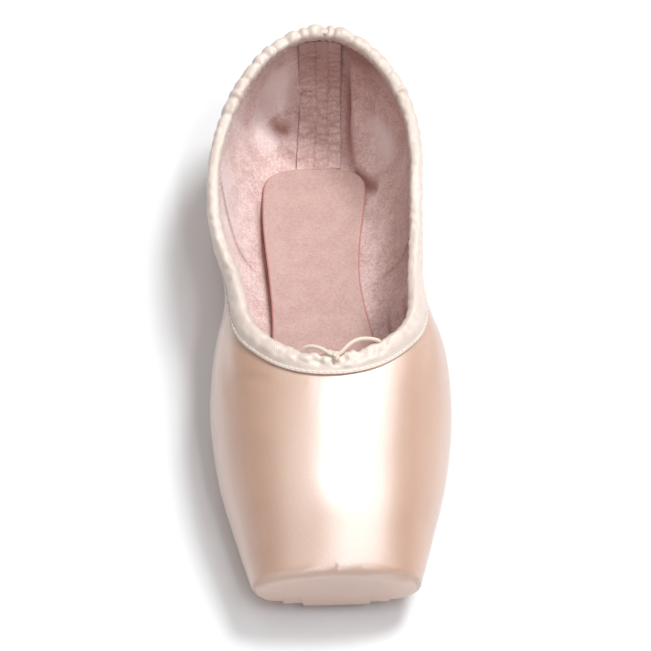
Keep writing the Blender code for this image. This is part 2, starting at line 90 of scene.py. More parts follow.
# %% [markdown]
# ## The camera
#
# The photograph looks down on the toe from in front, 57 degrees above the floor, from about a metre.
# A camera is aimed by turning its -Z axis to the target. The shoe isn't quite in the middle of the
# picture, so the lens is shifted a little instead of tilting the camera, which would change the angle.

# %% Camera
CAMERA_PLACE = Vector((-0.01488, -0.54446, 0.83867))
CAMERA_TARGET = Vector((-0.0010, 0.0, 0.0))
LENS = 146.8
LENS_SHIFT_UP = 0.029

camera = add_object("camera", bpy.data.cameras.new("camera"))
aim(camera, CAMERA_PLACE, CAMERA_TARGET, "Y")
camera.data.lens = LENS
camera.data.shift_y = LENS_SHIFT_UP
bpy.context.scene.camera = camera
print("camera to shoe:", round((CAMERA_TARGET - CAMERA_PLACE).length, 3), "m")

# %% [markdown]
# ## Floor and light
#
# Satin is all reflection, so its bright and dark bands are a picture of the lamps. Three soft boxes in
# a slanting row, their long sides along the shoe, give the white band down the vamp, which narrows
# towards the toe. A broad dim one above the left side gives the softer band, and the dim sky beside
# them leaves the tan bands. The strongest lamp stands to the right and behind: it throws the shadow
# and lights the inside, and only the upper vamp mirrors it, where the band begins. The lamps are a
# little cool and the sky a little warm, as the shadows are.

# %% Floor and lamps
Lamp = namedtuple("Lamp", "name place target wide long power")
LAMPS = (
    Lamp("main_lamp", (0.46, 0.37, 1.08), (0.0, 0.0, 0.0), 0.34, 0.34, 11.2),
    Lamp("throat_lamp", (0.46, 0.02, 0.95), (0.0, 0.02, 0.0), 0.24, 0.50, 0.80),
    Lamp("vamp_lamp", (0.33, -0.32, 0.95), (0.0, -0.32, 0.0), 0.13, 0.36, 1.20),
    Lamp("toe_lamp", (0.22, -0.56, 0.90), (0.0, -0.56, 0.0), 0.09, 0.40, 1.90),
    Lamp("left_lamp", (-0.17, 0.02, 1.05), (0.0, 0.02, 0.0), 0.42, 0.80, 1.45),
)
LAMP_TINT = (0.92, 0.975, 1.0)
SKY_TINT = (1.0, 0.94, 0.90, 1.0)
SKY_LOW, SKY_HIGH = 0.21, 0.48
SKY_DIM_BELOW, SKY_BRIGHT_ABOVE = 0.25, 0.95
FLOOR_SIZE = 6.0

for lamp in LAMPS:
    light = bpy.data.lights.new(lamp.name, "AREA")
    light.shape, light.size, light.size_y, light.energy = "RECTANGLE", lamp.wide, lamp.long, lamp.power
    light.color = LAMP_TINT
    aim(add_object(lamp.name, light), lamp.place, lamp.target, "X")

world = bpy.data.worlds.new("studio")
world.use_nodes = True
bpy.context.scene.world = world
bpy.context.scene.view_settings.view_transform = "Standard"

half_floor = FLOOR_SIZE / 2
floor_mesh = bpy.data.meshes.new("floor")
floor_corners = [(x * half_floor, y * half_floor, 0) for x, y in ((-1, -1), (1, -1), (1, 1), (-1, 1))]
floor_mesh.from_pydata(floor_corners, [], [(0, 1, 2, 3)])
floor = add_object("floor", floor_mesh)
floor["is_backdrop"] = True
print("lamps:", ", ".join(lamp.name for lamp in LAMPS))

# %% [markdown]
# ## Numbers on wires
#
# A material or a Geometry Nodes tree is a sum drawn with nodes. Wired up one by one, even a small sum
# is hard to read. This class wraps a node's output so that Python's own signs add the Math nodes:
# `1 - mask * 0.5` builds two nodes and gives back the last one's output. Every other node comes from
# `add`, which takes its type, its settings and what goes into its sockets.


# %% Node helpers
class Wire:
    """An output in a node tree that Python can calculate with."""

    def __init__(self, nodes, output):
        self.nodes, self.output = nodes, output

    def math(self, operation, *others):
        return self.nodes.add("ShaderNodeMath", {"operation": operation}, dict(enumerate((self, *others))))

    def vector(self, operation, *others):
        wires = dict(enumerate((self, *others)))
        return self.nodes.add("ShaderNodeVectorMath", {"operation": operation}, wires)

    def also(self, name):
        """Another output of the same node."""
        return Wire(self.nodes, self.output.node.outputs[name])

    def __add__(self, other):
        return self.math("ADD", other)

    def __radd__(self, other):
        return self.math("ADD", other)

    def __sub__(self, other):
        return self.math("SUBTRACT", other)

    def __rsub__(self, other):
        return self.math("MULTIPLY_ADD", -1.0, other)

    def __mul__(self, other):
        return self.math("MULTIPLY", other)

    def __rmul__(self, other):
        return self.math("MULTIPLY", other)


class Nodes:
    """Adds nodes to one tree."""

    def __init__(self, tree):
        self.tree = tree

    def add(self, kind, settings=None, sockets=None, output=0):
        node = self.tree.nodes.new(kind)
        for name, value in (settings or {}).items():
            setattr(node, name, value)
        for name, value in (sockets or {}).items():
            if isinstance(value, Wire):
                self.tree.links.new(value.output, node.inputs[name])
            else:
                node.inputs[name].default_value = value
        return Wire(self, node.outputs[output]) if node.outputs else None

    def ramp(self, wire, low, high, start=0.0, end=1.0):
        """The wire stretched so that low becomes the start and high the end, and no further."""
        settings = {"clamp": True, "interpolation_type": "SMOOTHSTEP"}
        sockets = {"Value": wire, "From Min": low, "From Max": high, "To Min": start, "To Max": end}
        return self.add("ShaderNodeMapRange", settings, sockets)

    def blend(self, share, first, second):
        """Between two colours: a Math node would turn them grey, so they go through Mix."""
        return self.add("ShaderNodeMix", {"data_type": "RGBA"}, {0: share, 6: first, 7: second}, 2)


def paint(red, green, blue):
    """A colour as a screen shows it, 0 to 255, in the linear light that shaders use."""
    shares = (np.array((red, green, blue)) / 255 + 0.055) / 1.055
    return (*(float(share) for share in shares**2.4), 1.0)


print("one half of white:", round(paint(188, 188, 188)[0], 2))

# %% [markdown]
# With the helpers at hand, the sky can be more than one tone. It is dim at the horizon, where the
# sides of the toe look, and bright overhead, as in a studio whose walls are far away.

# %% Sky
sky = Nodes(world.node_tree)
direction = sky.add("ShaderNodeTexCoord", output="Generated")
height = sky.add("ShaderNodeSeparateXYZ", None, {0: direction}, "Z")
glow = sky.ramp(height, SKY_DIM_BELOW, SKY_BRIGHT_ABOVE, SKY_LOW, SKY_HIGH)
background = world.node_tree.nodes["Background"]
background.inputs["Color"].default_value = SKY_TINT
world.node_tree.links.new(glow.output, background.inputs["Strength"])
print("sky from", SKY_LOW, "at the horizon to", SKY_HIGH, "overhead")

# %% [markdown]
# ## The last
#
# A last could be sculpted, but a shape that follows rules is easier to trust: a table of sections
# gives the width, the heights and the squareness at a few places along the foot, and smooth curves
# run through the columns. These are the same sizes and rules that the solids were made with, so
# whatever is laid over them here meets the solids everywhere.

# %% Sizes of the last
SHOE_LENGTH = 0.2280
BALL_WIDTH = 0.0874
INSTEP_HEIGHT = 0.0520
PLATFORM_WIDTH = 0.0580
PLATFORM_TOP = 0.0305
COLLAR_WIDTH = 0.0768
RIM_RADIUS = 0.0036
TOE_SPRING = 0.0014
ARCH_RISE = 0.0018
VAMP_LENGTH = 0.0745
SIDE_HEIGHT = 0.0430
THROAT_SLOPE = 0.1
HEEL_HEIGHT = 0.0560
HEEL_ROUND_LOW = 0.0340
HEEL_ROUND_HIGH = 0.0660
HEEL_BULGE_HEIGHT = 0.0220
HEEL_TUCK = 0.0075
HEEL_UNDERCUT = 0.0090
WALL = 0.0016
BOX_WALL = 0.0030
BOX_LENGTH = 0.0500
SOLE_THICKNESS = 0.0028
INSOLE_THICKNESS = 0.0018
GAP = 0.0003
OUTSOLE_WIDTH = 0.0480
OUTSOLE_TOE_SETBACK = 0.0210
OUTSOLE_HEEL_SETBACK = 0.0150
INSOLE_WIDTH = 0.0400
INSOLE_TOE_SETBACK = 0.0150
INSOLE_HEEL_SETBACK = 0.0365
INSOLE_ASIDE = 0.0010
OUTSOLE_ROUND = 0.0180
INSOLE_TOE_ROUND = 0.0160
INSOLE_HEEL_ROUND = 0.0160
LASTING_MARGIN = 0.0080
CASING_WALL = 0.0009
CASING_OUTSIDE = 0.0074
CASING_INSIDE = 0.0050
STRIP_WIDTH = 0.0180
STRIP_THICKNESS = 0.0009
CORD_DIAMETER = 0.0015
FINE_STEPS = 180
HALVINGS = 30
COLLAR_STEPS, BELT_STEPS, FLAT_STEPS, OUTLINE_STEPS, OPENING_STEPS = 600, 900, 60, 120, 200

TOE = -SHOE_LENGTH / 2
HEEL = SHOE_LENGTH / 2
THROAT = TOE + VAMP_LENGTH
CENTRE_HEIGHT = 0.40 * INSTEP_HEIGHT
TOE_FAN = THROAT + 0.28 * VAMP_LENGTH
HEEL_FAN = HEEL - 0.80 * HEEL_ROUND_HIGH

Section = namedtuple("Section", "along belt belt_height crown turn shoulder shift")
SECTIONS = (
    Section(0.000, PLATFORM_WIDTH, 0.330 * INSTEP_HEIGHT, PLATFORM_TOP, 2.3, 2.1, 0.000),
    Section(0.075, 0.775 * BALL_WIDTH, 0.330 * INSTEP_HEIGHT, 0.740 * INSTEP_HEIGHT, 2.3, 2.1, 0.000),
    Section(0.155, 0.890 * BALL_WIDTH, 0.335 * INSTEP_HEIGHT, 0.860 * INSTEP_HEIGHT, 2.6, 2.1, 0.000),
    Section(0.230, 0.964 * BALL_WIDTH, 0.340 * INSTEP_HEIGHT, 0.950 * INSTEP_HEIGHT, 2.8, 2.1, 0.000),
    Section(0.345, 1.000 * BALL_WIDTH, 0.360 * INSTEP_HEIGHT, 1.040 * INSTEP_HEIGHT, 2.9, 2.2, 0.000),
    Section(0.430, 0.945 * BALL_WIDTH, 0.420 * INSTEP_HEIGHT, 1.100 * INSTEP_HEIGHT, 2.7, 2.2, -0.002),
    Section(0.500, 0.955 * COLLAR_WIDTH, 0.540 * INSTEP_HEIGHT, 1.170 * INSTEP_HEIGHT, 2.5, 2.2, -0.016),
    Section(0.580, 0.960 * COLLAR_WIDTH, 0.720 * INSTEP_HEIGHT, 1.240 * INSTEP_HEIGHT, 2.4, 2.2, -0.042),
    Section(0.680, 1.000 * COLLAR_WIDTH, 0.860 * INSTEP_HEIGHT, 1.310 * INSTEP_HEIGHT, 2.4, 2.2, -0.052),
    Section(0.800, 1.000 * COLLAR_WIDTH, 0.930 * INSTEP_HEIGHT, 1.380 * INSTEP_HEIGHT, 2.4, 2.2, -0.030),
    Section(1.000, 1.000 * COLLAR_WIDTH, 0.960 * INSTEP_HEIGHT, 1.450 * INSTEP_HEIGHT, 2.4, 2.2, -0.004),
)
Collar = namedtuple("Collar", "back height")
COLLAR_LINE = (
    Collar(0.000, 1.034 * INSTEP_HEIGHT),
    Collar(0.028, 1.012 * INSTEP_HEIGHT),
    Collar(0.056, 0.990 * INSTEP_HEIGHT),
    Collar(0.090, 0.958 * INSTEP_HEIGHT),
    Collar(0.130, 0.930 * INSTEP_HEIGHT),
    Collar(0.190, 0.905 * INSTEP_HEIGHT),
    Collar(0.280, 1.040 * SIDE_HEIGHT),
    Collar(0.420, 1.000 * SIDE_HEIGHT),
    Collar(0.560, 1.000 * SIDE_HEIGHT),
    Collar(0.720, 1.070 * SIDE_HEIGHT),
    Collar(0.880, 0.925 * HEEL_HEIGHT),
    Collar(1.000, 1.000 * HEEL_HEIGHT),
)
Width = namedtuple("Width", "along width")


def widths_of(full, *rows):
    """Widths along a sole, from rows of a share of its length and a share of its full width."""
    return [Width(share, part * full) for share, part in rows]


OUTSOLE_WIDTHS = widths_of(
    OUTSOLE_WIDTH,
    (0.00, 0.90), (0.14, 0.96), (0.28, 1.00), (0.42, 0.86), (0.58, 0.62), (0.72, 0.60),
    (0.88, 0.70), (1.00, 0.72),
)
INSOLE_WIDTHS = widths_of(
    INSOLE_WIDTH,
    (0.00, 1.06), (0.18, 1.16), (0.36, 1.18), (0.56, 0.93), (0.72, 0.87), (0.86, 0.97),
    (1.00, 1.00),
)
Outline = namedtuple("Outline", "front back widths front_round back_round squareness")
OUTSOLE = Outline(
    front=TOE + OUTSOLE_TOE_SETBACK,
    back=HEEL - OUTSOLE_HEEL_SETBACK,
    widths=OUTSOLE_WIDTHS,
    front_round=OUTSOLE_ROUND,
    back_round=OUTSOLE_ROUND,
    squareness=2.2,
)
INSOLE = Outline(
    front=TOE + INSOLE_TOE_SETBACK,
    back=HEEL - INSOLE_HEEL_SETBACK,
    widths=INSOLE_WIDTHS,
    front_round=INSOLE_TOE_ROUND,
    back_round=INSOLE_HEEL_ROUND,
    squareness=2.6,
)
print("length of the last:", SHOE_LENGTH, "m, in", len(SECTIONS), "sections")


# %% Curves through a table
def curve_through(knots, values):
    """A curve through the points whose bending never jumps: a natural cubic spline."""
    knots, values = np.asarray(knots, float), np.asarray(values, float)
    step = np.diff(knots)
    count = len(knots)
    matrix, right = np.eye(count), np.zeros(count)
    for i in range(1, count - 1):
        matrix[i, i - 1 : i + 2] = step[i - 1], 2 * (step[i - 1] + step[i]), step[i]
        right[i] = 6 * ((values[i + 1] - values[i]) / step[i] - (values[i] - values[i - 1]) / step[i - 1])
    bend = np.linalg.solve(matrix, right)

    def at(x):
        x = np.clip(x, knots[0], knots[-1])
        i = np.clip(np.searchsorted(knots, x) - 1, 0, count - 2)
        before, after, width = x - knots[i], knots[i + 1] - x, step[i]
        return (
            (bend[i] * after**3 + bend[i + 1] * before**3) / (6 * width)
            + (values[i] / width - bend[i] * width / 6) * after
            + (values[i + 1] / width - bend[i + 1] * width / 6) * before
        )

    return at


def table_curve(rows, column):
    """A table's column as a curve of its first column."""
    return curve_through([row[0] for row in rows], [getattr(row, column) for row in rows])


def smoothstep(x, low, high):
    share = np.clip((x - low) / (high - low), 0, 1)
    return share * share * (3 - 2 * share)


belt_of, belt_height_of, crown_of, turn_of, shoulder_of, shift_of = (
    table_curve(SECTIONS, column) for column in Section._fields[1:]
)
collar_curve = table_curve(COLLAR_LINE, "height")
print("widest:", round(float(belt_of(SECTIONS[4].along)) * 1000, 1), "mm")

# %% [markdown]
# The outside of the last at any place is half a width for a place in its side view. Everything that
# the shoe needs, such as the collar line, is found from that one function.


# %% The last as functions
def along(y):
    return (y - TOE) / SHOE_LENGTH


def collar_height_of(back):
    """Height of the collar line, which starts on the last's crown at the throat."""
    to_crown = crown_of(along(THROAT)) - COLLAR_LINE[0].height
    return collar_curve(back) + to_crown * (1 - smoothstep(back, 0, COLLAR_LINE[4].back))


def sole_lift(y):
    """How far the outsole's underside is off the floor: toe spring and arch."""
    spring_start, arch_front, arch_back = (TOE + share * SHOE_LENGTH for share in (0.20, 0.44, 0.78))
    spring = TOE_SPRING * np.clip((spring_start - y) / (spring_start - TOE), 0, 1) ** 2
    arch = ARCH_RISE * np.sin(pi * np.clip((y - arch_front) / (arch_back - arch_front), 0, 1)) ** 2
    return spring + arch


def underside(y):
    return sole_lift(y) + SOLE_THICKNESS + GAP


def heel_back(z):
    """Side profile of the heel: furthest back at the bulge, tucked in above and cut under below."""
    above = np.clip((z - HEEL_BULGE_HEIGHT) / (HEEL_HEIGHT - HEEL_BULGE_HEIGHT), 0, 2)
    below = np.clip((HEEL_BULGE_HEIGHT - z) / (HEEL_BULGE_HEIGHT - SOLE_THICKNESS), 0, 1)
    return HEEL - HEEL_TUCK * above**2 - HEEL_UNDERCUT * below**3


def rim_inset(y):
    """How far the rounded rim of the platform draws the section in."""
    near = np.clip(RIM_RADIUS - (y - TOE), 0, RIM_RADIUS)
    return RIM_RADIUS - np.sqrt(RIM_RADIUS**2 - near**2)


def half_width(y, z):
    """Half the width of the last at a place in its side view. Negative outside the side view."""
    share = along(y)
    inset = rim_inset(y)
    belt, floor, crown = belt_of(share) / 2 - inset, underside(y) + inset, crown_of(share) - inset
    middle = belt_height_of(share)
    below = np.clip((middle - z) / (middle - floor), 0, 1)
    over = np.clip((z - middle) / (crown - middle), 0, 1)
    turn, shoulder = turn_of(share), shoulder_of(share)
    lower = (1 - below**turn) ** (1 / turn)
    upper = (1 - over**shoulder) ** (1 / shoulder)
    heel_round = HEEL_ROUND_LOW + (HEEL_ROUND_HIGH - HEEL_ROUND_LOW) * smoothstep(z, 0, HEEL_HEIGHT)
    into_heel = np.clip(1 - (heel_back(z) - y) / heel_round, 0, 1)
    width = belt * lower * upper * np.sqrt(1 - into_heel**2)
    outside = (z < floor) | (z > crown) | (y < TOE) | (y > heel_back(z))
    return np.where(outside, -1.0, width)


def underside_at(x, y):
    """Height of the last's underside beside its middle."""
    share = along(y)
    floor, middle = underside(y), belt_height_of(share)
    out = np.clip(np.abs(x) / (belt_of(share) / 2), 0, 0.98)
    turn = turn_of(share)
    return middle - (middle - floor) * (1 - out**turn) ** (1 / turn)


def lean(points):
    """The points moved sideways with the curve of the last."""
    moved = np.array(points, float)
    moved[..., 0] += shift_of(along(moved[..., 1])) * COLLAR_WIDTH
    return moved


def wall_at(y):
    """Thickness of the upper: the stiffened box at the toe, then satin and lining."""
    return BOX_WALL + (WALL - BOX_WALL) * smoothstep(y, TOE + BOX_LENGTH, TOE + 1.3 * BOX_LENGTH)


print("wall at the toe and the heel:", wall_at(TOE) * 1000, wall_at(HEEL) * 1000, "mm")


# %% Lines on the last
def around(line):
    """The slice of each point of half a line: -1 at the toe, 0 to 1 beside the foot, 2 at the heel."""
    x, y = line[:, 0], line[:, 1]
    toe = np.arctan2(x, TOE_FAN - y) / (pi / 2) - 1
    heel = 2 - np.arctan2(x, y - HEEL_FAN) / (pi / 2)
    side = (y - TOE_FAN) / (HEEL_FAN - TOE_FAN)
    return np.where(y < TOE_FAN, toe, np.where(y > HEEL_FAN, heel, side))


def points_at(wanted, places, line):
    """Points of a line between its own, at the wanted ones of a number that grows along it."""
    return np.column_stack([np.interp(wanted, places, column) for column in line.T])


def at_slices(line, slices):
    places = around(line)
    order = np.argsort(places)
    return points_at(slices, places[order], line[order])


def collar_half():
    """Half of the collar line on the last, from the throat to the heel."""
    back = (1 - np.cos(np.linspace(0, pi, COLLAR_STEPS))) / 2
    y = THROAT + back * (heel_back(HEEL_HEIGHT) - THROAT)
    z = np.minimum(collar_height_of(back), crown_of(along(y)) - THROAT_SLOPE * (y - THROAT))
    x = np.clip(half_width(y, z), 0, None)
    x[0] = x[-1] = 0
    return np.column_stack([x, y, z])


def belt_half():
    """Half of the last's outline seen from above, with the flat of the platform."""
    height = belt_height_of(0)
    flat = np.linspace(0, half_width(TOE, height), FLAT_STEPS)[:-1]
    y = TOE + (1 - np.cos(np.linspace(0, pi, BELT_STEPS))) / 2 * (heel_back(height) - TOE)
    x = np.clip(half_width(y, height), 0, None)
    x[-1] = 0
    x, y = np.concatenate([flat, x]), np.concatenate([np.full(len(flat), TOE), y])
    return np.column_stack([x, y, np.full(len(x), height)])


def outline_half(outline, count, inset=0.0):
    """Half of a flat piece's outline, from its front end to its back end."""
    turn = np.sin(np.linspace(0, pi / 2, count // 3))
    front, back = outline.front + inset, outline.back - inset
    power = 2 / outline.squareness
    rise = turn**power
    run = 1 - (1 - turn**2) ** (power / 2)
    middle = np.linspace(front + outline.front_round, back - outline.back_round, count // 3 + 2)[1:-1]
    y = np.concatenate([front + outline.front_round * run, middle, back - outline.back_round * run[::-1]])
    rounding = np.concatenate([rise, np.ones(len(middle)), rise[::-1]])
    share = (y - outline.front) / (outline.back - outline.front)
    x = (table_curve(outline.widths, "width")(share) / 2 - inset) * rounding
    return np.column_stack([x, y, underside(y)])


def opening_half():
    """Half of the lasting opening, inside both the outsole and the insole."""
    outer, inner = (
        outline_half(outline, OUTLINE_STEPS, LASTING_MARGIN) for outline in (OUTSOLE, INSOLE)
    )
    front, back = max(outer[0, 1], inner[0, 1]), min(outer[-1, 1], inner[-1, 1])
    y = front + (1 - np.cos(np.linspace(0, pi, OPENING_STEPS))) / 2 * (back - front)
    narrow = np.minimum(*(np.interp(y, line[:, 1], line[:, 0]) for line in (outer, inner)))
    ends = np.clip((y - front) * (back - y) / (LASTING_MARGIN * (back - front)), 0, 1)
    x = narrow * np.sqrt(1 - (1 - ends) ** 2)
    return np.column_stack([x, y, underside_at(x, y)])


def lengths_of(line):
    """How far along a line each of its points lies."""
    return np.concatenate([[0], np.cumsum(np.linalg.norm(np.diff(line, axis=0), axis=1))])


def smooth_line(points, count):
    """As many points as asked for along the smooth curve through the given ones."""
    points = np.asarray(points, float)
    position = lengths_of(points)
    steps = np.linspace(0, position[-1], count)
    return np.column_stack([curve_through(position, column)(steps) for column in points.T])


print("collar:", round(2 * lengths_of(collar_half())[-1] * 1000), "mm round")

# %% [markdown]
# A cloth is a grid of points: columns that go down the last in slices, and rows that go round it. The
# slices fan out over the toe and over the heel, so that no column is ever pinched. To find a column,
# rays leave the slice's middle and are halved again and again until they end on the last.


# %% Slices down the last
def paths_over(centres, ways, starts, ends):
    """Ways over the last from the starts to the ends, each in the upright plane of its centre and way."""

    def slope(points):
        out = ((points - centres)[:, :2] * ways).sum(axis=1)
        return np.arctan2(points[:, 2] - CENTRE_HEIGHT, out)

    angle = np.linspace(slope(starts), slope(ends), FINE_STEPS, axis=1)[..., None]
    rays = np.concatenate([np.cos(angle) * ways[:, None], np.sin(angle)], axis=-1)
    low, high = np.zeros(angle.shape), np.full(angle.shape, SHOE_LENGTH)
    for _ in range(HALVINGS):
        middle = (low + high) / 2
        points = centres[:, None] + rays * middle
        within = (np.abs(points[..., 0]) < half_width(points[..., 1], points[..., 2]))[..., None]
        low, high = np.where(within, middle, low), np.where(within, high, middle)
    paths = centres[:, None] + rays * low
    paths[:, 0], paths[:, -1] = starts, ends
    return paths


def slice_paths(slices):
    """For each slice, the way over the last from the collar line down and under to the lasting opening."""
    toe_turn, heel_turn = np.clip(slices + 1, 0, 1), np.clip(slices - 1, 0, 1)
    bearing = (toe_turn + heel_turn) * pi / 2
    ways = np.column_stack([np.sin(bearing), -np.cos(bearing)])
    middle = TOE_FAN + np.clip(slices, 0, 1) * (HEEL_FAN - TOE_FAN)
    centres = np.column_stack([0 * middle, middle, np.full(len(slices), CENTRE_HEIGHT)])
    return paths_over(centres, ways, at_slices(collar_half(), slices), at_slices(opening_half(), slices))


def spread(path, count, turn_length):
    """Points along a path, each step covering as much length, plus turn_length for each radian turned."""
    steps = np.diff(path, axis=0)
    lengths = np.maximum(np.linalg.norm(steps, axis=1), 1e-9)
    ways = steps / lengths[:, None]
    turns = np.arccos(np.clip((ways[1:] * ways[:-1]).sum(axis=1), -1, 1)) * turn_length
    weights = lengths.copy()
    weights[1:] += turns / 2
    weights[:-1] += turns / 2
    position = np.concatenate([[0], np.cumsum(weights)])
    return points_at(np.linspace(0, position[-1], count), position, path)


def at_lengths(path, lengths):
    """Points at the lengths along a path. A negative length runs on straight before its start."""
    start_way = (path[4] - path[0]) / np.linalg.norm(path[4] - path[0])
    return points_at(lengths, lengths_of(path), path) + np.minimum(lengths, 0)[:, None] * start_way


def whole_round(half):
    """The slices of one side and their mirror image, as one ring round the shoe."""
    return np.concatenate([half, half[-2:0:-1] * [-1, 1, 1]])


def mirrored(half):
    """A value for each slice of one side, for the whole ring."""
    return np.concatenate([half, half[-2:0:-1]])


def outward(grid, closed):
    """Unit vectors pointing away from the foot at each point of a grid of slices by places down them."""
    if closed:
        across = np.roll(grid, -1, axis=0) - np.roll(grid, 1, axis=0)
    else:
        across = np.gradient(grid, axis=0)
    down = np.gradient(grid, axis=1)
    away = np.cross(down, across)
    return away / np.linalg.norm(away, axis=-1, keepdims=True)


def slices_at(line, runs):
    """The slices that lie those lengths along half a line."""
    slices = np.interp(runs, lengths_of(line), around(line))
    return np.clip(slices, -1, 2)


belt_length = lengths_of(belt_half())[-1]
print("belt:", round(2 * belt_length * 1000), "mm round")


# %% Meshes from grids
def new_piece(name, data, material):
    """A mesh as an object of its own, at the origin, with its place in its points."""
    data.materials.append(material)
    data.shade_smooth()
    return add_object(name, data)


def grid_mesh(name, grid, closed):
    """Quads over a grid whose columns are rings, which themselves close into a ring or end in caps."""
    columns, rows = grid.shape[:2]
    column = np.arange(columns if closed else columns - 1)[:, None]
    row = np.arange(rows)
    here, there = column * rows, (column + 1) % columns * rows
    following = (row + 1) % rows
    quads = np.stack([here + row, here + following, there + following, there + row], axis=-1)
    faces = quads.reshape(-1, 4).tolist()
    if not closed:
        faces += [list(range(rows)), list(range((columns - 1) * rows, columns * rows))]
    data = bpy.data.meshes.new(name)
    data.from_pydata(grid.reshape(-1, 3).tolist(), [], faces)
    mesh = bmesh.new()
    mesh.from_mesh(data)
    bmesh.ops.recalc_face_normals(mesh, faces=mesh.faces)
    mesh.to_mesh(data)
    mesh.free()
    return data


def set_value(data, name, values):
    """A number for each point, which materials and Geometry Nodes read by its name."""
    attribute = data.attributes.new(name, "FLOAT", "POINT")
    attribute.data.foreach_set("value", np.asarray(values, np.float32).ravel())


def triangles(piece):
    return sum(len(polygon.vertices) - 2 for polygon in piece.data.polygons)


print("a cloth's flat pattern is kept as the UV map 'cloth'")

# %% [markdown]
# ## Creases
#
# Cloth that has been worn or lasted has creases where the hand finds them, not at random. Each crease
# is a short route over the shoe with a width and a height: above zero it is a ridge, below zero a
# trough. A `side` of 1 or -1 makes it a fold, which is steep on that side and runs out on the other.
# The same rows can also give a tone, which is strongest along the route, instead of a height. A slow
# waviness made of a few sine waves keeps the cloth between the creases from looking machined.


# %% Crease helpers
Crease = namedtuple("Crease", "route width height side", defaults=(0,))
FOLD_STEEPNESS = 0.22
MM = 0.001


def creases_of(height_unit, *rows):
    """Creases from rows of a width, a height, a side and a route, in millimetres."""
    return [
        Crease(np.array(route) / 1000, width / 1000, height * height_unit, side)
        for width, height, side, *route in rows
    ]


def along_route(points, route):
    """For each point: the distance to a route, the share along it, and the way across to it."""
    line = smooth_line(route, 6 * len(route)) if len(route) > 2 else np.asarray(route, float)
    position = lengths_of(line)
    best = np.full(len(points), np.inf)
    share, way, ahead = np.zeros(len(points)), np.zeros((len(points), 3)), np.zeros((len(points), 3))
    for start, end, before in zip(line[:-1], line[1:], position[:-1]):
        step = end - start
        part = np.clip(((points - start) @ step) / (step @ step), 0, 1)
        off = points - (start + part[:, None] * step)
        distance = (off**2).sum(axis=1)
        nearer = distance < best
        best = np.where(nearer, distance, best)
        share = np.where(nearer, (before + part * np.linalg.norm(step)) / position[-1], share)
        way[nearer], ahead[nearer] = off[nearer], step / np.linalg.norm(step)
    return np.sqrt(best), share, way, ahead


def creased(points, away, creases):
    """How far each point moves outwards for the creases near it."""
    shape = points.shape[:-1]
    points, away = points.reshape(-1, 3), away.reshape(-1, 3)
    moved = np.zeros(len(points))
    for crease in creases:
        distance, share, way, ahead = along_route(points, crease.route)
        fade = np.sin(pi * np.clip(share, 0, 1)) ** 0.5
        if crease.side:
            across = (np.cross(ahead, away) * way).sum(axis=1) * crease.side
            steep = np.clip(-across, 0, None) / (FOLD_STEEPNESS * crease.width)
            gentle = np.clip(across, 0, None) / crease.width
            form = np.exp(-(steep**2)) * np.exp(-(gentle**2))
            form = form * np.exp(-((distance / crease.width) ** 2) / 4)
        else:
            form = np.exp(-((distance / crease.width) ** 2))
        moved += crease.height * form * fade
    return moved.reshape(shape)


def waviness(points, size, seed, waves=14):
    """A slow random swell between about -1 and 1, the same on every run."""
    random = np.random.default_rng(seed)
    total = np.zeros(points.shape[:-1])
    for _ in range(waves):
        way = random.normal(size=3)
        way *= 2 * pi / (size * random.uniform(0.7, 1.5)) / np.linalg.norm(way)
        total += np.sin(points @ way + random.uniform(0, 2 * pi))
    return total / np.sqrt(waves)


# %% [markdown]
# ## Finishes
#
# Three cloths and a leather make the shoe. Satin is woven with long floats, so it has a fine diagonal
# rib and a broad shine. Suede is leather with its nap raised, which scatters light and shows a mottle
# where the nap lies in two ways. Each finish is one Principled shader: what is the same all over is
# set on its sockets, and only colour, roughness and the bump follow the surface.


# %% Material helpers
def new_material(name, constants):
    """A material, its node builder, and a function that feeds a wire into the shader."""
    material = bpy.data.materials.new(name)
    material.use_nodes = True
    tree = material.node_tree
    shader = tree.nodes["Principled BSDF"]
    for socket, value in constants.items():
        shader.inputs[socket].default_value = value

    def feed(socket, wire):
        tree.links.new(wire.output, shader.inputs[socket])

    return material, Nodes(tree), feed


def noise(nodes, place, scale, detail=3.0, roughness=0.55):
    sockets = {"Vector": place, "Scale": scale, "Detail": detail, "Roughness": roughness}
    return nodes.add("ShaderNodeTexNoise", {"noise_dimensions": "3D"}, sockets)


def bump(nodes, height, distance):
    """A normal from a height between 0 and 1, that many metres deep."""
    return nodes.add("ShaderNodeBump", None, {"Strength": 1.0, "Distance": distance, "Height": height})


def attribute(nodes, name):
    return nodes.add("ShaderNodeAttribute", {"attribute_name": name}, None, "Fac")


def place_in(nodes):
    """Where on the shoe the surface is, in metres."""
    return nodes.add("ShaderNodeTexCoord", output="Object")


# %% Satin
TWILL_PITCH = 0.00072
THREAD_DEPTH = 0.00005


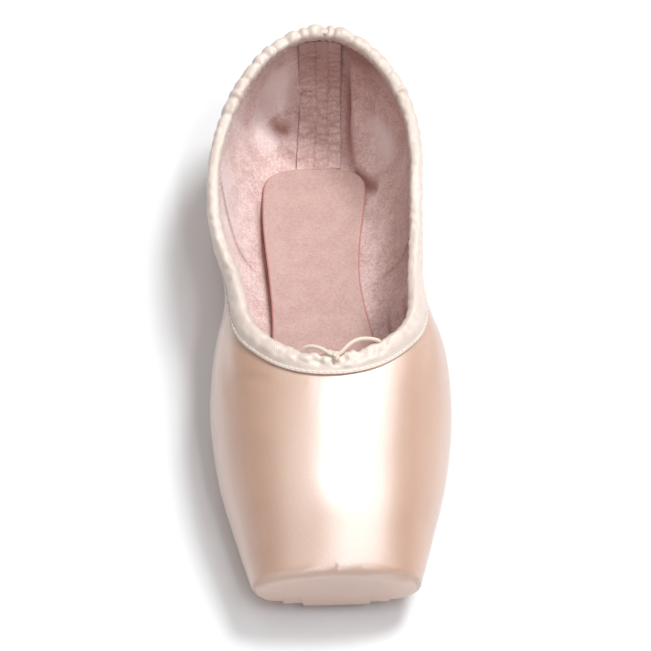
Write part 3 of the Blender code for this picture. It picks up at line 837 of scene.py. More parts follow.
def make_satin(name, light, shade, constants, weave_depth):
    """Satin weave: diagonal ribs over the flat cloth, uneven threads, and a slow change of tone."""
    material, nodes, feed = new_material(name, constants)
    flat = nodes.add("ShaderNodeUVMap", {"uv_map": "cloth"})
    parts = nodes.add("ShaderNodeSeparateXYZ", None, {0: flat})
    across, down = parts, parts.also("Y")
    rib = ((across + down) * (2 * pi / TWILL_PITCH)).math("SINE") * 0.5 + 0.5
    place = place_in(nodes)
    threads = noise(nodes, flat, 900.0, 1.0)
    tone = noise(nodes, place, 42.0, 2.0)
    share = rib * 0.55 + nodes.ramp(threads, 0.2, 0.8) * 0.15 + nodes.ramp(tone, 0.35, 0.65) * 0.30
    feed("Base Color", nodes.blend(share, light, shade))
    feed("Roughness", constants["Roughness"] + nodes.ramp(threads, 0.2, 0.8) * 0.06)
    feed("Normal", bump(nodes, rib * 0.9 + threads * 0.1, weave_depth))
    return material


PEACH_SHINE = {
    "Roughness": 0.28,
    "IOR": 2.3,
    "Specular IOR Level": 1.0,
    "Sheen Weight": 1.0,
    "Sheen Roughness": 0.30,
}
CREAM_SHINE = {
    "Roughness": 0.42,
    "Metallic": 0.10,
    "Specular IOR Level": 0.6,
    "Sheen Weight": 0.2,
    "Sheen Roughness": 0.5,
}
peach_satin = make_satin(
    "peach satin", paint(216, 170, 143), paint(197, 148, 122), PEACH_SHINE, THREAD_DEPTH
)
cream_satin = make_satin(
    "cream satin", paint(232, 216, 206), paint(215, 194, 182), CREAM_SHINE, 1.4 * THREAD_DEPTH
)
print("finishes:", peach_satin.name, "and", cream_satin.name)

# %% [markdown]
# Suede reads as suede by its speckle. Two noises a tenth and a half of a millimetre across make the
# nap, and a third, some millimetres wide, brushes patches of it the other way. Two numbers on the
# mesh's points change its tone. The first is 1 along cut edges, where the leather is darker and redder,
# and it also carries painted shade, darker and redder, into deep folds and corners. The second is
# painted light: where it is 1, the suede is painted paler, as where it swells towards the lamps.


# %% Suede and leather
SUEDE_SHINE = {"Roughness": 0.92, "Specular IOR Level": 0.15, "Sheen Weight": 0.45, "Sheen Roughness": 0.55}
LINING_NAP, INSOLE_NAP = 0.00022, 0.00012


def make_suede(name, light, dark, darkest_tone, painted_light_colour, nap):
    material, nodes, feed = new_material(name, SUEDE_SHINE)
    place = place_in(nodes)
    fine = noise(nodes, place, 2600.0, 2.0)
    grain = noise(nodes, place, 900.0, 4.0, 0.7)
    brushed = noise(nodes, place, 120.0, 3.0)
    share = nodes.ramp(fine, 0.35, 0.65) * 0.30 + nodes.ramp(grain, 0.35, 0.65) * 0.45
    share = share + nodes.ramp(brushed, 0.4, 0.6) * 0.25
    # painted light: where the mesh's number for it is 1, the colour goes over to the paler one
    body = nodes.blend(attribute(nodes, "pale"), nodes.blend(share, light, dark), painted_light_colour)
    # cut edges, and painted shade in folds and corners, go over to the darkest tone
    feed("Base Color", nodes.blend(attribute(nodes, "edge"), body, darkest_tone))
    feed("Normal", bump(nodes, fine * 0.4 + grain * 0.6, nap))
    return material


lining_suede = make_suede(
    "lining suede",
    light=paint(240, 214, 209),
    dark=paint(188, 146, 140),
    # on the lining, the darkest tone is only painted shade in folds, corners and seams
    darkest_tone=paint(146, 88, 78),
    # and the paler colour is painted light on its lit swellings
    painted_light_colour=paint(250, 236, 234),
    nap=LINING_NAP,
)
insole_suede = make_suede(
    "insole suede",
    light=paint(202, 170, 162),
    dark=paint(181, 145, 138),
    darkest_tone=paint(178, 112, 104),
    painted_light_colour=paint(226, 206, 200),
    nap=INSOLE_NAP,
)


def make_leather(name, light, dark, darkest_tone):
    constants = {"Roughness": 0.62, "Specular IOR Level": 0.35}
    material, nodes, feed = new_material(name, constants)
    place = place_in(nodes)
    stretched = nodes.add("ShaderNodeMapping", None, {"Vector": place, "Scale": (1.0, 0.35, 1.0)})
    scuffs = noise(nodes, stretched, 320.0, 5.0, 0.7)
    cells = nodes.add("ShaderNodeTexVoronoi", {"feature": "F1"}, {"Vector": place, "Scale": 1500.0})
    cloud = noise(nodes, place, 60.0, 3.0)
    share = nodes.ramp(scuffs, 0.4, 0.62) * 0.5 + nodes.ramp(cloud, 0.35, 0.65) * 0.4
    body = nodes.blend(share, light, dark)
    feed("Base Color", nodes.blend(attribute(nodes, "edge"), body, darkest_tone))
    feed("Roughness", 0.55 + nodes.ramp(scuffs, 0.4, 0.7) * 0.25)
    feed("Normal", bump(nodes, cells * 0.5 + scuffs * 0.5, 0.00012))
    return material


sole_leather = make_leather("sole leather", paint(206, 178, 150), paint(182, 150, 120), paint(150, 112, 82))
print("finishes:", lining_suede.name, insole_suede.name, "and", sole_leather.name)


# %% Thread and elastic
def make_thread(name, light, dark, twist_pitch):
    """Twisted or braided yarn: fine diagonal turns along the piece."""
    constants = {"Roughness": 0.6, "Specular IOR Level": 0.35, "Sheen Weight": 0.3, "Sheen Roughness": 0.5}
    material, nodes, feed = new_material(name, constants)
    place = place_in(nodes)
    parts = nodes.add("ShaderNodeSeparateXYZ", None, {0: place})
    slant = parts + parts.also("Y") * 0.6 + parts.also("Z")
    turns = (slant * (2 * pi / twist_pitch)).math("SINE") * 0.5 + 0.5
    lint = noise(nodes, place, 3000.0, 2.0)
    feed("Base Color", nodes.blend(turns * 0.4 + lint * 0.4, light, dark))
    feed("Normal", bump(nodes, turns * 0.6 + lint * 0.5, 0.00006))
    return material


cream_thread = make_thread("cream thread", paint(252, 245, 236), paint(214, 194, 176), 0.0005)
rose_thread = make_thread("rose thread", paint(206, 160, 152), paint(170, 120, 114), 0.0005)
elastic = make_thread("elastic cord", paint(240, 222, 206), paint(206, 180, 160), 0.0007)
print("threads:", cream_thread.name, rose_thread.name, "and", elastic.name)

# %% [markdown]
# ## The gathers
#
# The drawstring runs in the casing and draws it up, most at the heel. Where it is drawn, the cloth
# stands in small puffs with sharp valleys between them. The valleys are spread round the collar with
# uneven steps, from a fixed seed, and every piece near the collar reads the same ones: the satin
# below the casing carries the same waves, dying out downwards.

# %% Where the collar is gathered
PUFF_PITCH = 0.0060
PUFF_UNEVENNESS = 0.50
PUFF_LOWEST = 0.35
PUFF_LEVEL = 0.6
PINCH = 0.0024
GATHER_SEED = 5
TIGHT_FROM, TIGHT_TO = 0.050, 0.088
SLACK_FROM, SLACK_TO = -0.030, 0.010
TIGHT_AT_THROAT, TIGHT_EVERYWHERE = 0.20, 0.07

collar_line = collar_half()
collar_length = lengths_of(collar_line)[-1]
random = np.random.default_rng(GATHER_SEED)
puff_count = round(2 * collar_length / PUFF_PITCH)
pitches = 1 + PUFF_UNEVENNESS * random.uniform(-1, 1, puff_count)
valleys = np.concatenate([[0], np.cumsum(pitches)]) * 2 * collar_length / pitches.sum()
puff_heights = random.uniform(PUFF_LOWEST, 1.0, puff_count + 1)


def collar_place(slices):
    """Length round the collar from the throat, and the place along the shoe, for the slices of a ring."""
    order = around(collar_line)
    run = np.interp(slices, order, lengths_of(collar_line))
    y = np.interp(slices, order, collar_line[:, 1])
    return np.concatenate([run, 2 * collar_length - run[-2:0:-1]]), mirrored(y)


def gather_phase(run):
    """Counts the puffs round the collar: a whole number at each valley."""
    return np.interp(np.mod(run - PINCH, 2 * collar_length), valleys, np.arange(len(valleys)))


def puff_height(phase):
    """How full each puff is: they aren't all alike."""
    return puff_heights[np.floor(phase).astype(int)]


def tightness(y):
    """How hard the drawstring draws the casing: full behind the ankle, slack along the sides."""
    at_throat = TIGHT_AT_THROAT * (1 - smoothstep(y, SLACK_FROM, SLACK_TO))
    return smoothstep(y, TIGHT_FROM, TIGHT_TO) + at_throat + TIGHT_EVERYWHERE


def puff(phase):
    """1 in the middle of a puff and 0 in a valley."""
    part = 2 * np.mod(phase, 1) - 1
    return np.sqrt(np.clip(1 - part**2, 0, 1))


print("puffs round the collar:", puff_count)

# %% [markdown]
# ## The satin upper
#
# The upper is satin pulled over the last and turned under the sole. At the toe there is too much of
# it, so it is laid in pleats that start low on the platform and run in under the outsole. It is made
# as two grids, an outer and an inner face, joined at the collar and at the lasting opening, so that
# the cloth has a thickness. Columns stand closer round the toe, where the pleats need them.

# %% Columns and rows of the upper
ROWS = 84
SATIN_THICKNESS = 0.0007
TOE_ARC, HEEL_ARC = 0.078, 0.066

runs = np.concatenate(
    [
        np.linspace(0, TOE_ARC, 128),
        np.linspace(TOE_ARC, belt_length - HEEL_ARC, 122)[1:],
        np.linspace(belt_length - HEEL_ARC, belt_length, 66)[1:],
    ]
)
slices = slices_at(belt_half(), runs)
slices[0], slices[-1] = -1, 2
half_grid = np.array([spread(path, ROWS, 3 * RIM_RADIUS) for path in slice_paths(slices)])
grid = whole_round(half_grid)
away = outward(grid, True)
drop = np.concatenate(
    [np.zeros((len(grid), 1)), np.cumsum(np.linalg.norm(np.diff(grid, axis=1), axis=2), axis=1)], axis=1
)
collar_run, collar_y = collar_place(slices)
belt_run = mirrored(runs)
print("upper's grid:", grid.shape[0], "columns of", grid.shape[1])

# %% [markdown]
# A pleat is a saw tooth: it rises slowly from under its neighbour to its own folded edge, then drops.
# The middle panel of the platform lies on top, and the pleats turn away from it to both sides.

# %% Pleats, ripples and creases of the satin
PLEAT_DEPTH = 0.0009
PLEAT_EDGES = (0.0117, 0.0185, 0.0255, 0.0330, 0.0405, 0.0475, 0.0545, 0.0620, 0.0695, 0.0775)
PLEAT_CURVE, PLEAT_RISE = 1.5, 0.35
PLEATS_START_IN_FRONT, PLEATS_START_ASIDE = 0.80, 0.62
PLEATS_END, PLEATS_GONE = 0.028, 0.052
PANEL_MIDDLE = 0.75
RIPPLE_HEIGHT, RIPPLE_REACH = 0.00055, 0.007
SEAM_TOP, SEAM_BOTTOM = 0.040, 0.020
SEAM_TOP_HEIGHT, SEAM_BOTTOM_HEIGHT = 0.042, 0.004
SIDE_SEAM_DEPTH, SIDE_SEAM_WIDTH, SIDE_SEAM_START = 0.00030, 0.0012, 0.004
BACK_SEAM_DEPTH, BACK_SEAM_WIDTH = 0.00035, 0.0009
SWELL_HEIGHT, SWELL_SIZE, SWELL_SEED = 0.00010, 0.030, 11

x, y, z = grid[..., 0], grid[..., 1], grid[..., 2]
belt = belt_height_of(along(y))
edges = np.array((-PLEAT_EDGES[0],) + PLEAT_EDGES)
tooth = np.mod(np.interp(belt_run, edges, np.arange(len(edges))), 1) ** PLEAT_CURVE
panel = PANEL_MIDDLE + (1 - PANEL_MIDDLE) * smoothstep(belt_run, 0, PLEAT_EDGES[0])
tooth = np.where(belt_run < PLEAT_EDGES[0], panel, tooth)
tooth = np.where(belt_run >= PLEAT_EDGES[-1], 0, tooth)
in_front = y < TOE + 2 * RIM_RADIUS
pleat_start = np.where(in_front, PLEATS_START_IN_FRONT, PLEATS_START_ASIDE) * belt
under = smoothstep(pleat_start - z, 0, PLEAT_RISE * belt)
near_toe = 1 - smoothstep(y, TOE + PLEATS_END, TOE + PLEATS_GONE)
pleats = -PLEAT_DEPTH * (1 - tooth[:, None]) * under * near_toe

satin_phase = gather_phase(collar_run)
ripple = ((puff(satin_phase) - PUFF_LEVEL) * puff_height(satin_phase))[:, None]
ripple = ripple * tightness(collar_y)[:, None]
below_casing = np.clip(drop - 0.6 * CASING_OUTSIDE, 0, None)
ripples = RIPPLE_HEIGHT * ripple * np.exp(-below_casing / RIPPLE_REACH)


def seam_y(z):
    """Where the side seams between vamp and quarters lie, slanting forward and down."""
    share = (SEAM_TOP_HEIGHT - z) / (SEAM_TOP_HEIGHT - SEAM_BOTTOM_HEIGHT)
    return SEAM_TOP + (SEAM_BOTTOM - SEAM_TOP) * share


SATIN_CREASES = creases_of(
    MM,
    (2.2, -0.38, 0, (-33.5, -40, 42), (-22.5, -47, 50), (-9, -50, 53)),
    (1.6, 0.34, 0, (-36, -32, 40), (-29, -40, 46.5), (-18, -44, 52)),
    (3, -0.4, 0, (-38, -18, 38), (-36.5, -33, 38), (-33, -50, 39)),
    (2.8, -0.32, 0, (35, -20, 42), (34.5, -33, 41), (31, -48, 42)),
    (1, 0.35, 0, (9, -112, 30), (16, -112.5, 29), (24.5, -111.5, 27)),
    (1.2, -0.25, 0, (10, -113.5, 27), (17, -113.8, 26.2), (24, -113, 24.5)),
)
side_seam = np.exp(-(((y - seam_y(z)) / SIDE_SEAM_WIDTH) ** 2)) * (drop > SIDE_SEAM_START)
side_seam = -SIDE_SEAM_DEPTH * side_seam
back_seam = -BACK_SEAM_DEPTH * np.exp(-((x / BACK_SEAM_WIDTH) ** 2)) * (y > HEEL_FAN)
swell = SWELL_HEIGHT * waviness(grid, SWELL_SIZE, SWELL_SEED)
relief = pleats + ripples + side_seam + back_seam + swell + creased(grid, away, SATIN_CREASES)
print("satin stands between", round(relief.min() * 1000, 2), "and", round(relief.max() * 1000, 2), "mm")

# %% [markdown]
# The weave needs the cloth laid flat. Over the vamp, one way is the length across from the shoe's
# middle line and the other the place along the shoe. Behind the side seams the satin is another
# piece, cut along the collar, so its weave follows the collar instead.


# %% The satin's flat pattern
def girth_to(points, steps=24):
    """Length round the section from the last's top line to each point, on its own side."""
    y, z = points[..., 1], points[..., 2]
    top = crown_of(along(y)) - rim_inset(y)
    total, last_x, last_z = 0.0 * y, 0.0 * y, top
    for step in np.linspace(0, 1, steps)[1:]:
        level = top - (top - z) * step**2
        width = np.clip(half_width(y, level), 0, None)
        total = total + np.hypot(width - last_x, level - last_z)
        last_x, last_z = width, level
    return total * np.sign(points[..., 0])


def lay_flat(data, patterns, on_second):
    """The UV map, in metres: one pair of numbers for each point, or the second pair on some faces."""
    index = np.empty(len(data.loops), np.int32)
    data.loops.foreach_get("vertex_index", index)
    first, second = (np.stack([np.ravel(way)[index] for way in pair], axis=-1) for pair in patterns)
    chosen = on_second(np.array([polygon.center for polygon in data.polygons]))
    corners = np.array([polygon.loop_total for polygon in data.polygons])
    pairs = np.where(np.repeat(chosen, corners)[:, None], second, first)
    data.uv_layers.new(name="cloth").data.foreach_set("uv", pairs.astype(np.float32).ravel())


def shell_rows(front, back, step=3):
    """One ring of rows down the front face and back up the back face, which needs fewer."""
    keep = np.unique(np.concatenate([np.arange(0, front.shape[1], step), [front.shape[1] - 1]]))[::-1]
    return np.concatenate([front, back[:, keep]], axis=1)


FRONT_FROM, FRONT_RANGE = 0.5, 0.3

facing_front = np.clip((-away[..., 1] - FRONT_FROM) / FRONT_RANGE, 0, 1)
vamp_across = girth_to(grid) * (1 - facing_front) + x * facing_front
vamp_down = y + np.minimum(z - PLATFORM_TOP - RIM_RADIUS / 2, 0) * facing_front
vamp_flat = [shell_rows(values, values) for values in (vamp_across, vamp_down)]
quarter_run = np.repeat(collar_run[:, None], ROWS, axis=1)
quarter_flat = [shell_rows(values, values) for values in (quarter_run, drop)]

outer_face = lean(grid + away * relief[..., None])
inner_face = lean(grid - away * SATIN_THICKNESS)
satin_data = grid_mesh("satin_upper", shell_rows(outer_face, inner_face), True)
lay_flat(satin_data, (vamp_flat, quarter_flat), lambda centres: centres[:, 1] > seam_y(centres[:, 2]))
satin_upper = new_piece("satin_upper", satin_data, peach_satin)
print(satin_upper.name, triangles(satin_upper), "triangles")

# %% [markdown]
# ## The lining
#
# Inside, the heel and sides are lined with pink suede, which is glued down only near the sole. It
# hangs a little loose above, so the heel has one long upright fold, a dent beside the heel strip and
# a deep corner where the lining meets the insole. These are creases too, only larger.

# %% Lining
LINING_CREASES = creases_of(
    MM,
    # the long upright fold on the right of the heel strip: the lining swells out beyond it
    (6, -3, 1, (12, 106, 40), (12.8, 108, 30), (13.2, 107.5, 20), (13, 101, 11),
     (13.2, 88, 6.6), (14.2, 78, 6.4), (15.8, 70, 7.2)),
    (8, -2.4, 0, (23, 96, 30), (24, 95, 20), (22.5, 88, 12)),
    (4, 1.2, 0, (30, 83, 36), (31, 76, 25), (29, 64, 17)),
    # the dent on the left, and the swelling round it
    (3, 2, 0, (-19, 99, 12), (-15, 95.5, 7.6), (-11.6, 97.5, 8)),
    (7, -2.2, -1, (-12.8, 100, 12), (-13.4, 106, 22), (-12.8, 107, 35)),
    (6, -1.6, 1, (-27, 90, 19), (-25, 96, 26), (-20, 101, 36)),
    (5, -1.4, 0, (-26, 88, 14), (-21, 88, 8.4), (-17, 83, 6.6)),
    (1.6, 0.7, 1, (-33, 80, 26), (-28, 80, 15), (-20, 74, 8)),
    # the deep corner at the back right of the insole
    (3, 2, 0, (13, 74, 6.6), (17.2, 67.5, 8.4), (21.5, 62, 11)),
    (5, -2, 0, (21, 72, 11), (24.5, 62, 13), (25, 48, 13)),
    (1.6, 1, 1, (23.6, 56, 10), (25.2, 38, 11), (24, 22, 10)),
    # between the ball and the right edge of the insole
    (2, -1.2, 1, (26, 13, 12), (23.6, 3, 9.6), (24, -9, 10)),
    (2.2, -1, -1, (30, 10, 17), (29, -2, 15), (29, -14, 15)),
    # along the left of the insole
    (2.2, 1.4, 0, (-24.5, 60, 10), (-23, 32, 9.5), (-19.2, 2, 8)),
)
DEEPEST_DENT = 0.0006
# the strongest painted shade and painted light on the lining
DARKEST_PAINTED_SHADE, BRIGHTEST_PAINTED_LIGHT = 0.85, 0.85
SLOW_SWELL, QUICK_SWELL = (0.00035, 0.026, 21), (0.00012, 0.009, 22)
SEAM_RIDGE_WIDTH, SEAM_RIDGE_HEIGHT = 0.0010, -0.00045
SEAM_SHADE_WIDTH, SEAM_SHADE = 0.0011, 0.55
LINING_GAP = 0.0001
# painted shade: how much darker and redder the suede is painted in its deepest folds and corners
LINING_PAINTED_SHADE = creases_of(
    1,
    (2.6, 0.8, 0, (8.5, 108, 34), (10, 109, 24), (10.8, 106, 13), (10.8, 95, 7.5),
     (11.2, 82, 6.4), (12.8, 73, 6.8)),
    (2.8, 1, 0, (12, 76, 6.6), (16.5, 69, 8.2), (21.5, 63, 10.8)),
    (7, 0.5, 0, (33, 90, 42), (35, 70, 36), (34.5, 42, 33)),
    (9, 0.55, 0, (33.5, 50, 33), (33.5, 20, 31), (36, -12, 33)),
    (2.6, 0.85, 0, (-20, 98.5, 12.5), (-15.2, 95.8, 8), (-11.8, 98.5, 11)),
    (1.6, 0.45, 0, (-11.8, 98.5, 11), (-10.8, 104, 18), (-10.4, 107, 29)),
    (1.8, 0.3, 0, (-30, 86, 20), (-25.5, 92.5, 24), (-21.5, 98.5, 33)),
    (3.5, 0.4, 0, (-37, 70, 42), (-31, 88, 44), (-19, 102, 46)),
    (2.2, 0.35, 0, (-15, 90, 7), (-12, 85, 6.2), (-10.5, 79, 6)),
    (2, 0.9, 0, (-24.5, 60, 10), (-23, 32, 9.5), (-19.2, 2, 8)),
    (6, 0.2, 0, (-33, 92, 44), (-20, 104, 46), (-6, 109, 48)),
    (12, 0.65, 0, (0, 108, 46), (15, 105, 44), (26, 96, 42)),
    (1.4, 0.45, 0, (25, 56, 10.5), (26.2, 38, 11.5), (25, 22, 10.5)),
    (1.2, 0.6, 0, (25.8, 14, 12), (23.4, 3, 9.6), (23.8, -9, 10)),
    (1.4, 0.6, 0, (30.4, 11, 17.5), (29.4, -2, 15.5), (29.4, -15, 15.5)),
)
# painted light: where the lining swells towards the lamps and is painted paler
LINING_PAINTED_LIGHT = creases_of(
    1,
    (8, 0.85, 0, (-15, 100, 12), (-17, 104, 24), (-16.5, 105, 36)),
    (6, 0.6, 0, (-27, 93, 22), (-24, 90, 12), (-19, 86, 8)),
    (6, 0.75, 0, (20, 96, 16), (25, 86, 15), (27, 72, 16)),
    (9, 0.4, 0, (-36, 66, 30), (-37, 48, 26), (-33, 20, 20)),
    (8, 0.7, 0, (-34, 10, 26), (-33, -6, 24), (-31, -20, 23)),
    (4, 0.5, 0, (33, 12, 24), (32, 2, 21), (31, -8, 20)),
)
wall = wall_at(y)
LINING_SEAMS = (
    ((0.0330, 0.0310, 0.0390), (0.0312, 0.0262, 0.0299), (0.0220, 0.0218, 0.0136), (0.0190, 0.0205, 0.0090)),
    ((-0.040, 0.056, 0.040), (-0.0388, 0.0509, 0.0301), (-0.0307, 0.0291, 0.0149), (-0.0265, 0.0245, 0.010)),
)
inner_points = grid - away * wall[..., None]
upper_part = smoothstep(z, 0.006, 0.016)
lining_swell, quick_swell = (
    height * waviness(inner_points, size, seed) for height, size, seed in (SLOW_SWELL, QUICK_SWELL)
)
lining_swell = lining_swell * upper_part * smoothstep(y, -0.02, 0.05)
lining_swell = lining_swell + quick_swell * smoothstep(y, 0.02, 0.06)
leaned = lean(inner_points)
folds = creased(leaned, away, LINING_CREASES)
# painted shade along the lining's seams, so that they show in the dark corners
seam_shade = [Crease(route, SEAM_SHADE_WIDTH, SEAM_SHADE) for route in LINING_SEAMS]
# the lining's painted shade: folds, corners and seams together
painted_shade = np.clip(creased(leaned, away, [*LINING_PAINTED_SHADE, *seam_shade]), 0, DARKEST_PAINTED_SHADE)
# the lining's painted light, on its lit swellings
pale = np.clip(creased(leaned, away, LINING_PAINTED_LIGHT), 0, BRIGHTEST_PAINTED_LIGHT)
seam_folds = [Crease(route, SEAM_RIDGE_WIDTH, SEAM_RIDGE_HEIGHT, 1) for route in LINING_SEAMS]
seam_ridges = creased(leaned, away, seam_folds)
lining_relief = np.minimum(lining_swell + folds + seam_ridges, DEEPEST_DENT)
lining_face = lean(grid + away * (lining_relief - wall)[..., None])
lining_back = lean(grid - away * (SATIN_THICKNESS + LINING_GAP))
lining_data = grid_mesh("suede_lining", shell_rows(lining_face, lining_back), True)
set_value(lining_data, "edge", shell_rows(painted_shade, 0 * painted_shade))
set_value(lining_data, "pale", shell_rows(pale, 0 * pale))
suede_lining = new_piece("suede_lining", lining_data, lining_suede)
print(suede_lining.name, triangles(suede_lining), "triangles")

# %% [markdown]
# ## The drawstring casing
#
# A band of cream satin is folded over the raw edge and stitched down, with the drawstring inside. Its
# section is a short list: out along the hem, over a stitched groove, up over the soft tube, round the
# edge and down inside to the inner hem. Sweeping that section round the collar gives a plain tube,
# and a Geometry Nodes tree then draws it up into puffs, which is a rule repeated along a path.

# %% The casing's section and its grid
CASING_ROWS = 40
CASING_STEP = 0.00075
CASING_CLOTH = 0.020
Stop = namedtuple("Stop", "down out")


def stops_of(*rows):
    """Places in the casing's section, from millimetres down the wall and out of it."""
    return [Stop(down / 1000, out / 1000) for down, out in rows]


CASING_STOPS = stops_of(
    (7.35, 0.35), (7.5, 0.75), (7.2, 1.05), (6.65, 0.82), (6, 0.92), (4.8, 1.5), (3, 1.85),
    (1.1, 1.65), (-0.5, 0.9), (-1, -0.8), (-0.5, -2.4), (1.1, -3), (2.8, -2.95), (4.1, -2.62),
    (4.7, -2.72), (5.05, -2.5), (5, -2.05),
)
BACK_OF_CASING = stops_of((4.8, -1.95), (0, -1.9), (-0.3, -0.8), (0, 0.3))
STITCH_DOWN, STITCH_OUT = 0.00662, 0.00098
INNER_STITCH_DOWN, INNER_STITCH_OUT = 0.00425, -0.00285


def on_wall(paths, section):
    """Points at places down the wall and distances out of it, for each slice."""
    places, distances = np.array([(stop.down, stop.out) for stop in section]).T
    levels, index = np.unique(places, return_inverse=True)
    grid = np.array([at_lengths(path, levels) for path in paths])
    away = outward(grid, True)
    return grid[:, index] + away[:, index] * distances[:, None]


casing_runs = np.linspace(0, collar_length, int(collar_length / CASING_STEP))
casing_slices = slices_at(collar_line, casing_runs)
casing_slices[0], casing_slices[-1] = -1, 2
casing_paths = whole_round(slice_paths(casing_slices))
casing_section = [Stop(*pair) for pair in smooth_line(CASING_STOPS, CASING_ROWS)] + BACK_OF_CASING
casing_grid = on_wall(casing_paths, casing_section)
casing_run, casing_y = collar_place(casing_slices)
section_down = np.array([stop.down for stop in casing_section])
rise = smoothstep(STITCH_DOWN - 0.0005 - section_down, 0, 0.0030)
inner_row = CASING_ROWS * 6 // 10
rise[inner_row:] = smoothstep(INNER_STITCH_DOWN - section_down, 0, 0.0025)[inner_row:]
rise[CASING_ROWS:] = 0
print("casing's grid:", casing_grid.shape[0], "columns of", casing_grid.shape[1])


# %% The casing's creases at the throat
def across_casing(x, width, height, slant):
    """A crease across the casing near the throat, at a place across the shoe."""
    edge_y, edge_z = points_at(abs(x), collar_line[:, 0], collar_line[:, 1:])[0]
    top = (x + slant, edge_y + 0.0020, edge_z + 0.0012)
    return Crease(((x - slant, edge_y - 0.0075, edge_z + 0.0006), top), width, height)


THROAT_CREASES = [
    across_casing(*(size / 1000 for size in row))
    for row in (
        (PINCH * 1000, 1.9, -2.6, 0), (-3.6, 4.2, 0.7, 0), (7.8, 3.4, 0.7, 0), (5.3, 0.6, -0.6, 0.8),
        (8, 0.6, -0.5, -1.2), (10.2, 0.7, -0.5, 1.4), (12.8, 0.8, -0.4, -1), (-8.2, 0.8, -0.4, 1.2),
        (-12, 1, -0.4, -1.6), (-16.6, 1.2, -0.4, 2), (-22.2, 1.4, -0.4, -1.4), (17.2, 1.2, -0.5, 1.8),
        (22.6, 1.4, -0.4, -2),
    )
]
CRUMPLE_HEIGHT = 0.00022
CRUMPLES = ((0.0036, 31), (0.009, 32))
CRUSHED_AT, CRUSHED_REACH, CRUSHED_UP_TO = 0.004, 0.014, THROAT + 0.02
CRUSHED_LEAST, CRUSHED_MORE = 0.6, 1.9

centre_line = casing_grid.mean(axis=1, keepdims=True)
casing_away = casing_grid - centre_line
casing_away /= np.linalg.norm(casing_away, axis=-1, keepdims=True)
by_hand = creased(casing_grid, casing_away, THROAT_CREASES) * rise
at_throat = np.exp(-(((casing_grid[..., 0] - CRUSHED_AT) / CRUSHED_REACH) ** 2))
crushed = CRUSHED_LEAST + CRUSHED_MORE * at_throat * (casing_grid[..., 1] < CRUSHED_UP_TO)
crumple = sum(CRUMPLE_HEIGHT * waviness(casing_grid, size, seed) for size, seed in CRUMPLES)
crumple = crumple * rise * crushed
casing_points = lean(casing_grid + casing_away * (by_hand + crumple)[..., None])
casing_data = grid_mesh("drawstring_casing", casing_points, True)
set_value(casing_data, "puffs", np.repeat(gather_phase(casing_run)[:, None], len(casing_section), axis=1))
fullness = tightness(casing_y) * puff_height(gather_phase(casing_run))
set_value(casing_data, "tight", fullness[:, None] * rise)
casing_flat = [
    np.repeat(casing_run[:, None], len(casing_section), axis=1),
    np.repeat(np.linspace(0, CASING_CLOTH, len(casing_section))[None], len(casing_run), axis=0),
]
# the band's two ends meet at the middle of the throat, and the faces that close the ring need its far end
closing_flat = [casing_flat[0] + 2 * collar_length * (casing_flat[0] == 0), casing_flat[1]]


def closes_ring(centres):
    off = np.abs(centres[:, 0] + CASING_STEP / 2)
    return (centres[:, 1] < TOE_FAN) & (off < 0.45 * CASING_STEP)


lay_flat(casing_data, (casing_flat, closing_flat), closes_ring)
casing = new_piece("drawstring_casing", casing_data, cream_satin)
print("creases across the casing at the throat:", len(THROAT_CREASES))

# %% [markdown]
# The tree for the gathers reads two numbers from the mesh: the count of puffs and how tight the cloth
# is drawn. Each point moves out along its normal, and up, by half an ellipse for each puff. A tree
# takes its sizes through named inputs, so the same tree could gather a curtain.


# %% Geometry Nodes helpers
SOCKET_KINDS = {float: "NodeSocketFloat", int: "NodeSocketInt", bpy.types.Material: "NodeSocketMaterial"}


def new_tree(name, inputs):
    """A tree for a modifier: geometry in and out, and named inputs with their values."""
    tree = bpy.data.node_groups.new(name, "GeometryNodeTree")
    tree.interface.new_socket("Geometry", in_out="INPUT", socket_type="NodeSocketGeometry")
    for title, value in inputs.items():
        tree.interface.new_socket(title, in_out="INPUT", socket_type=SOCKET_KINDS[type(value)])
    tree.interface.new_socket("Geometry", in_out="OUTPUT", socket_type="NodeSocketGeometry")
    nodes = Nodes(tree)
    return tree, nodes, nodes.add("NodeGroupInput")


def end_tree(nodes, geometry, material):
    """Every tree ends in real points with a material of their own."""
    realized = nodes.add("GeometryNodeRealizeInstances", None, {"Geometry": geometry})
    painted = nodes.add("GeometryNodeSetMaterial", None, {"Geometry": realized, "Material": material})
    nodes.add("NodeGroupOutput", None, {"Geometry": painted})


def run_tree(piece, tree, inputs):
    """Runs the tree on the piece and keeps the result as a plain mesh."""
    modifier = piece.modifiers.new(tree.name, "NODES")
    modifier.node_group = tree
    sockets = {item.name: item.identifier for item in tree.interface.items_tree if item.in_out == "INPUT"}
    for title, value in inputs.items():
        modifier[sockets[title]] = value
    made = piece.evaluated_get(bpy.context.evaluated_depsgraph_get())
    data = bpy.data.meshes.new_from_object(made)
    piece.modifiers.clear()
    data.name, piece.data = piece.name, data
    data.shade_smooth()
    return piece


# %% Gathers
GATHERS = {"Puff Height": 0.00125, "Puff Lift": 0.00085, "Material": cream_satin}

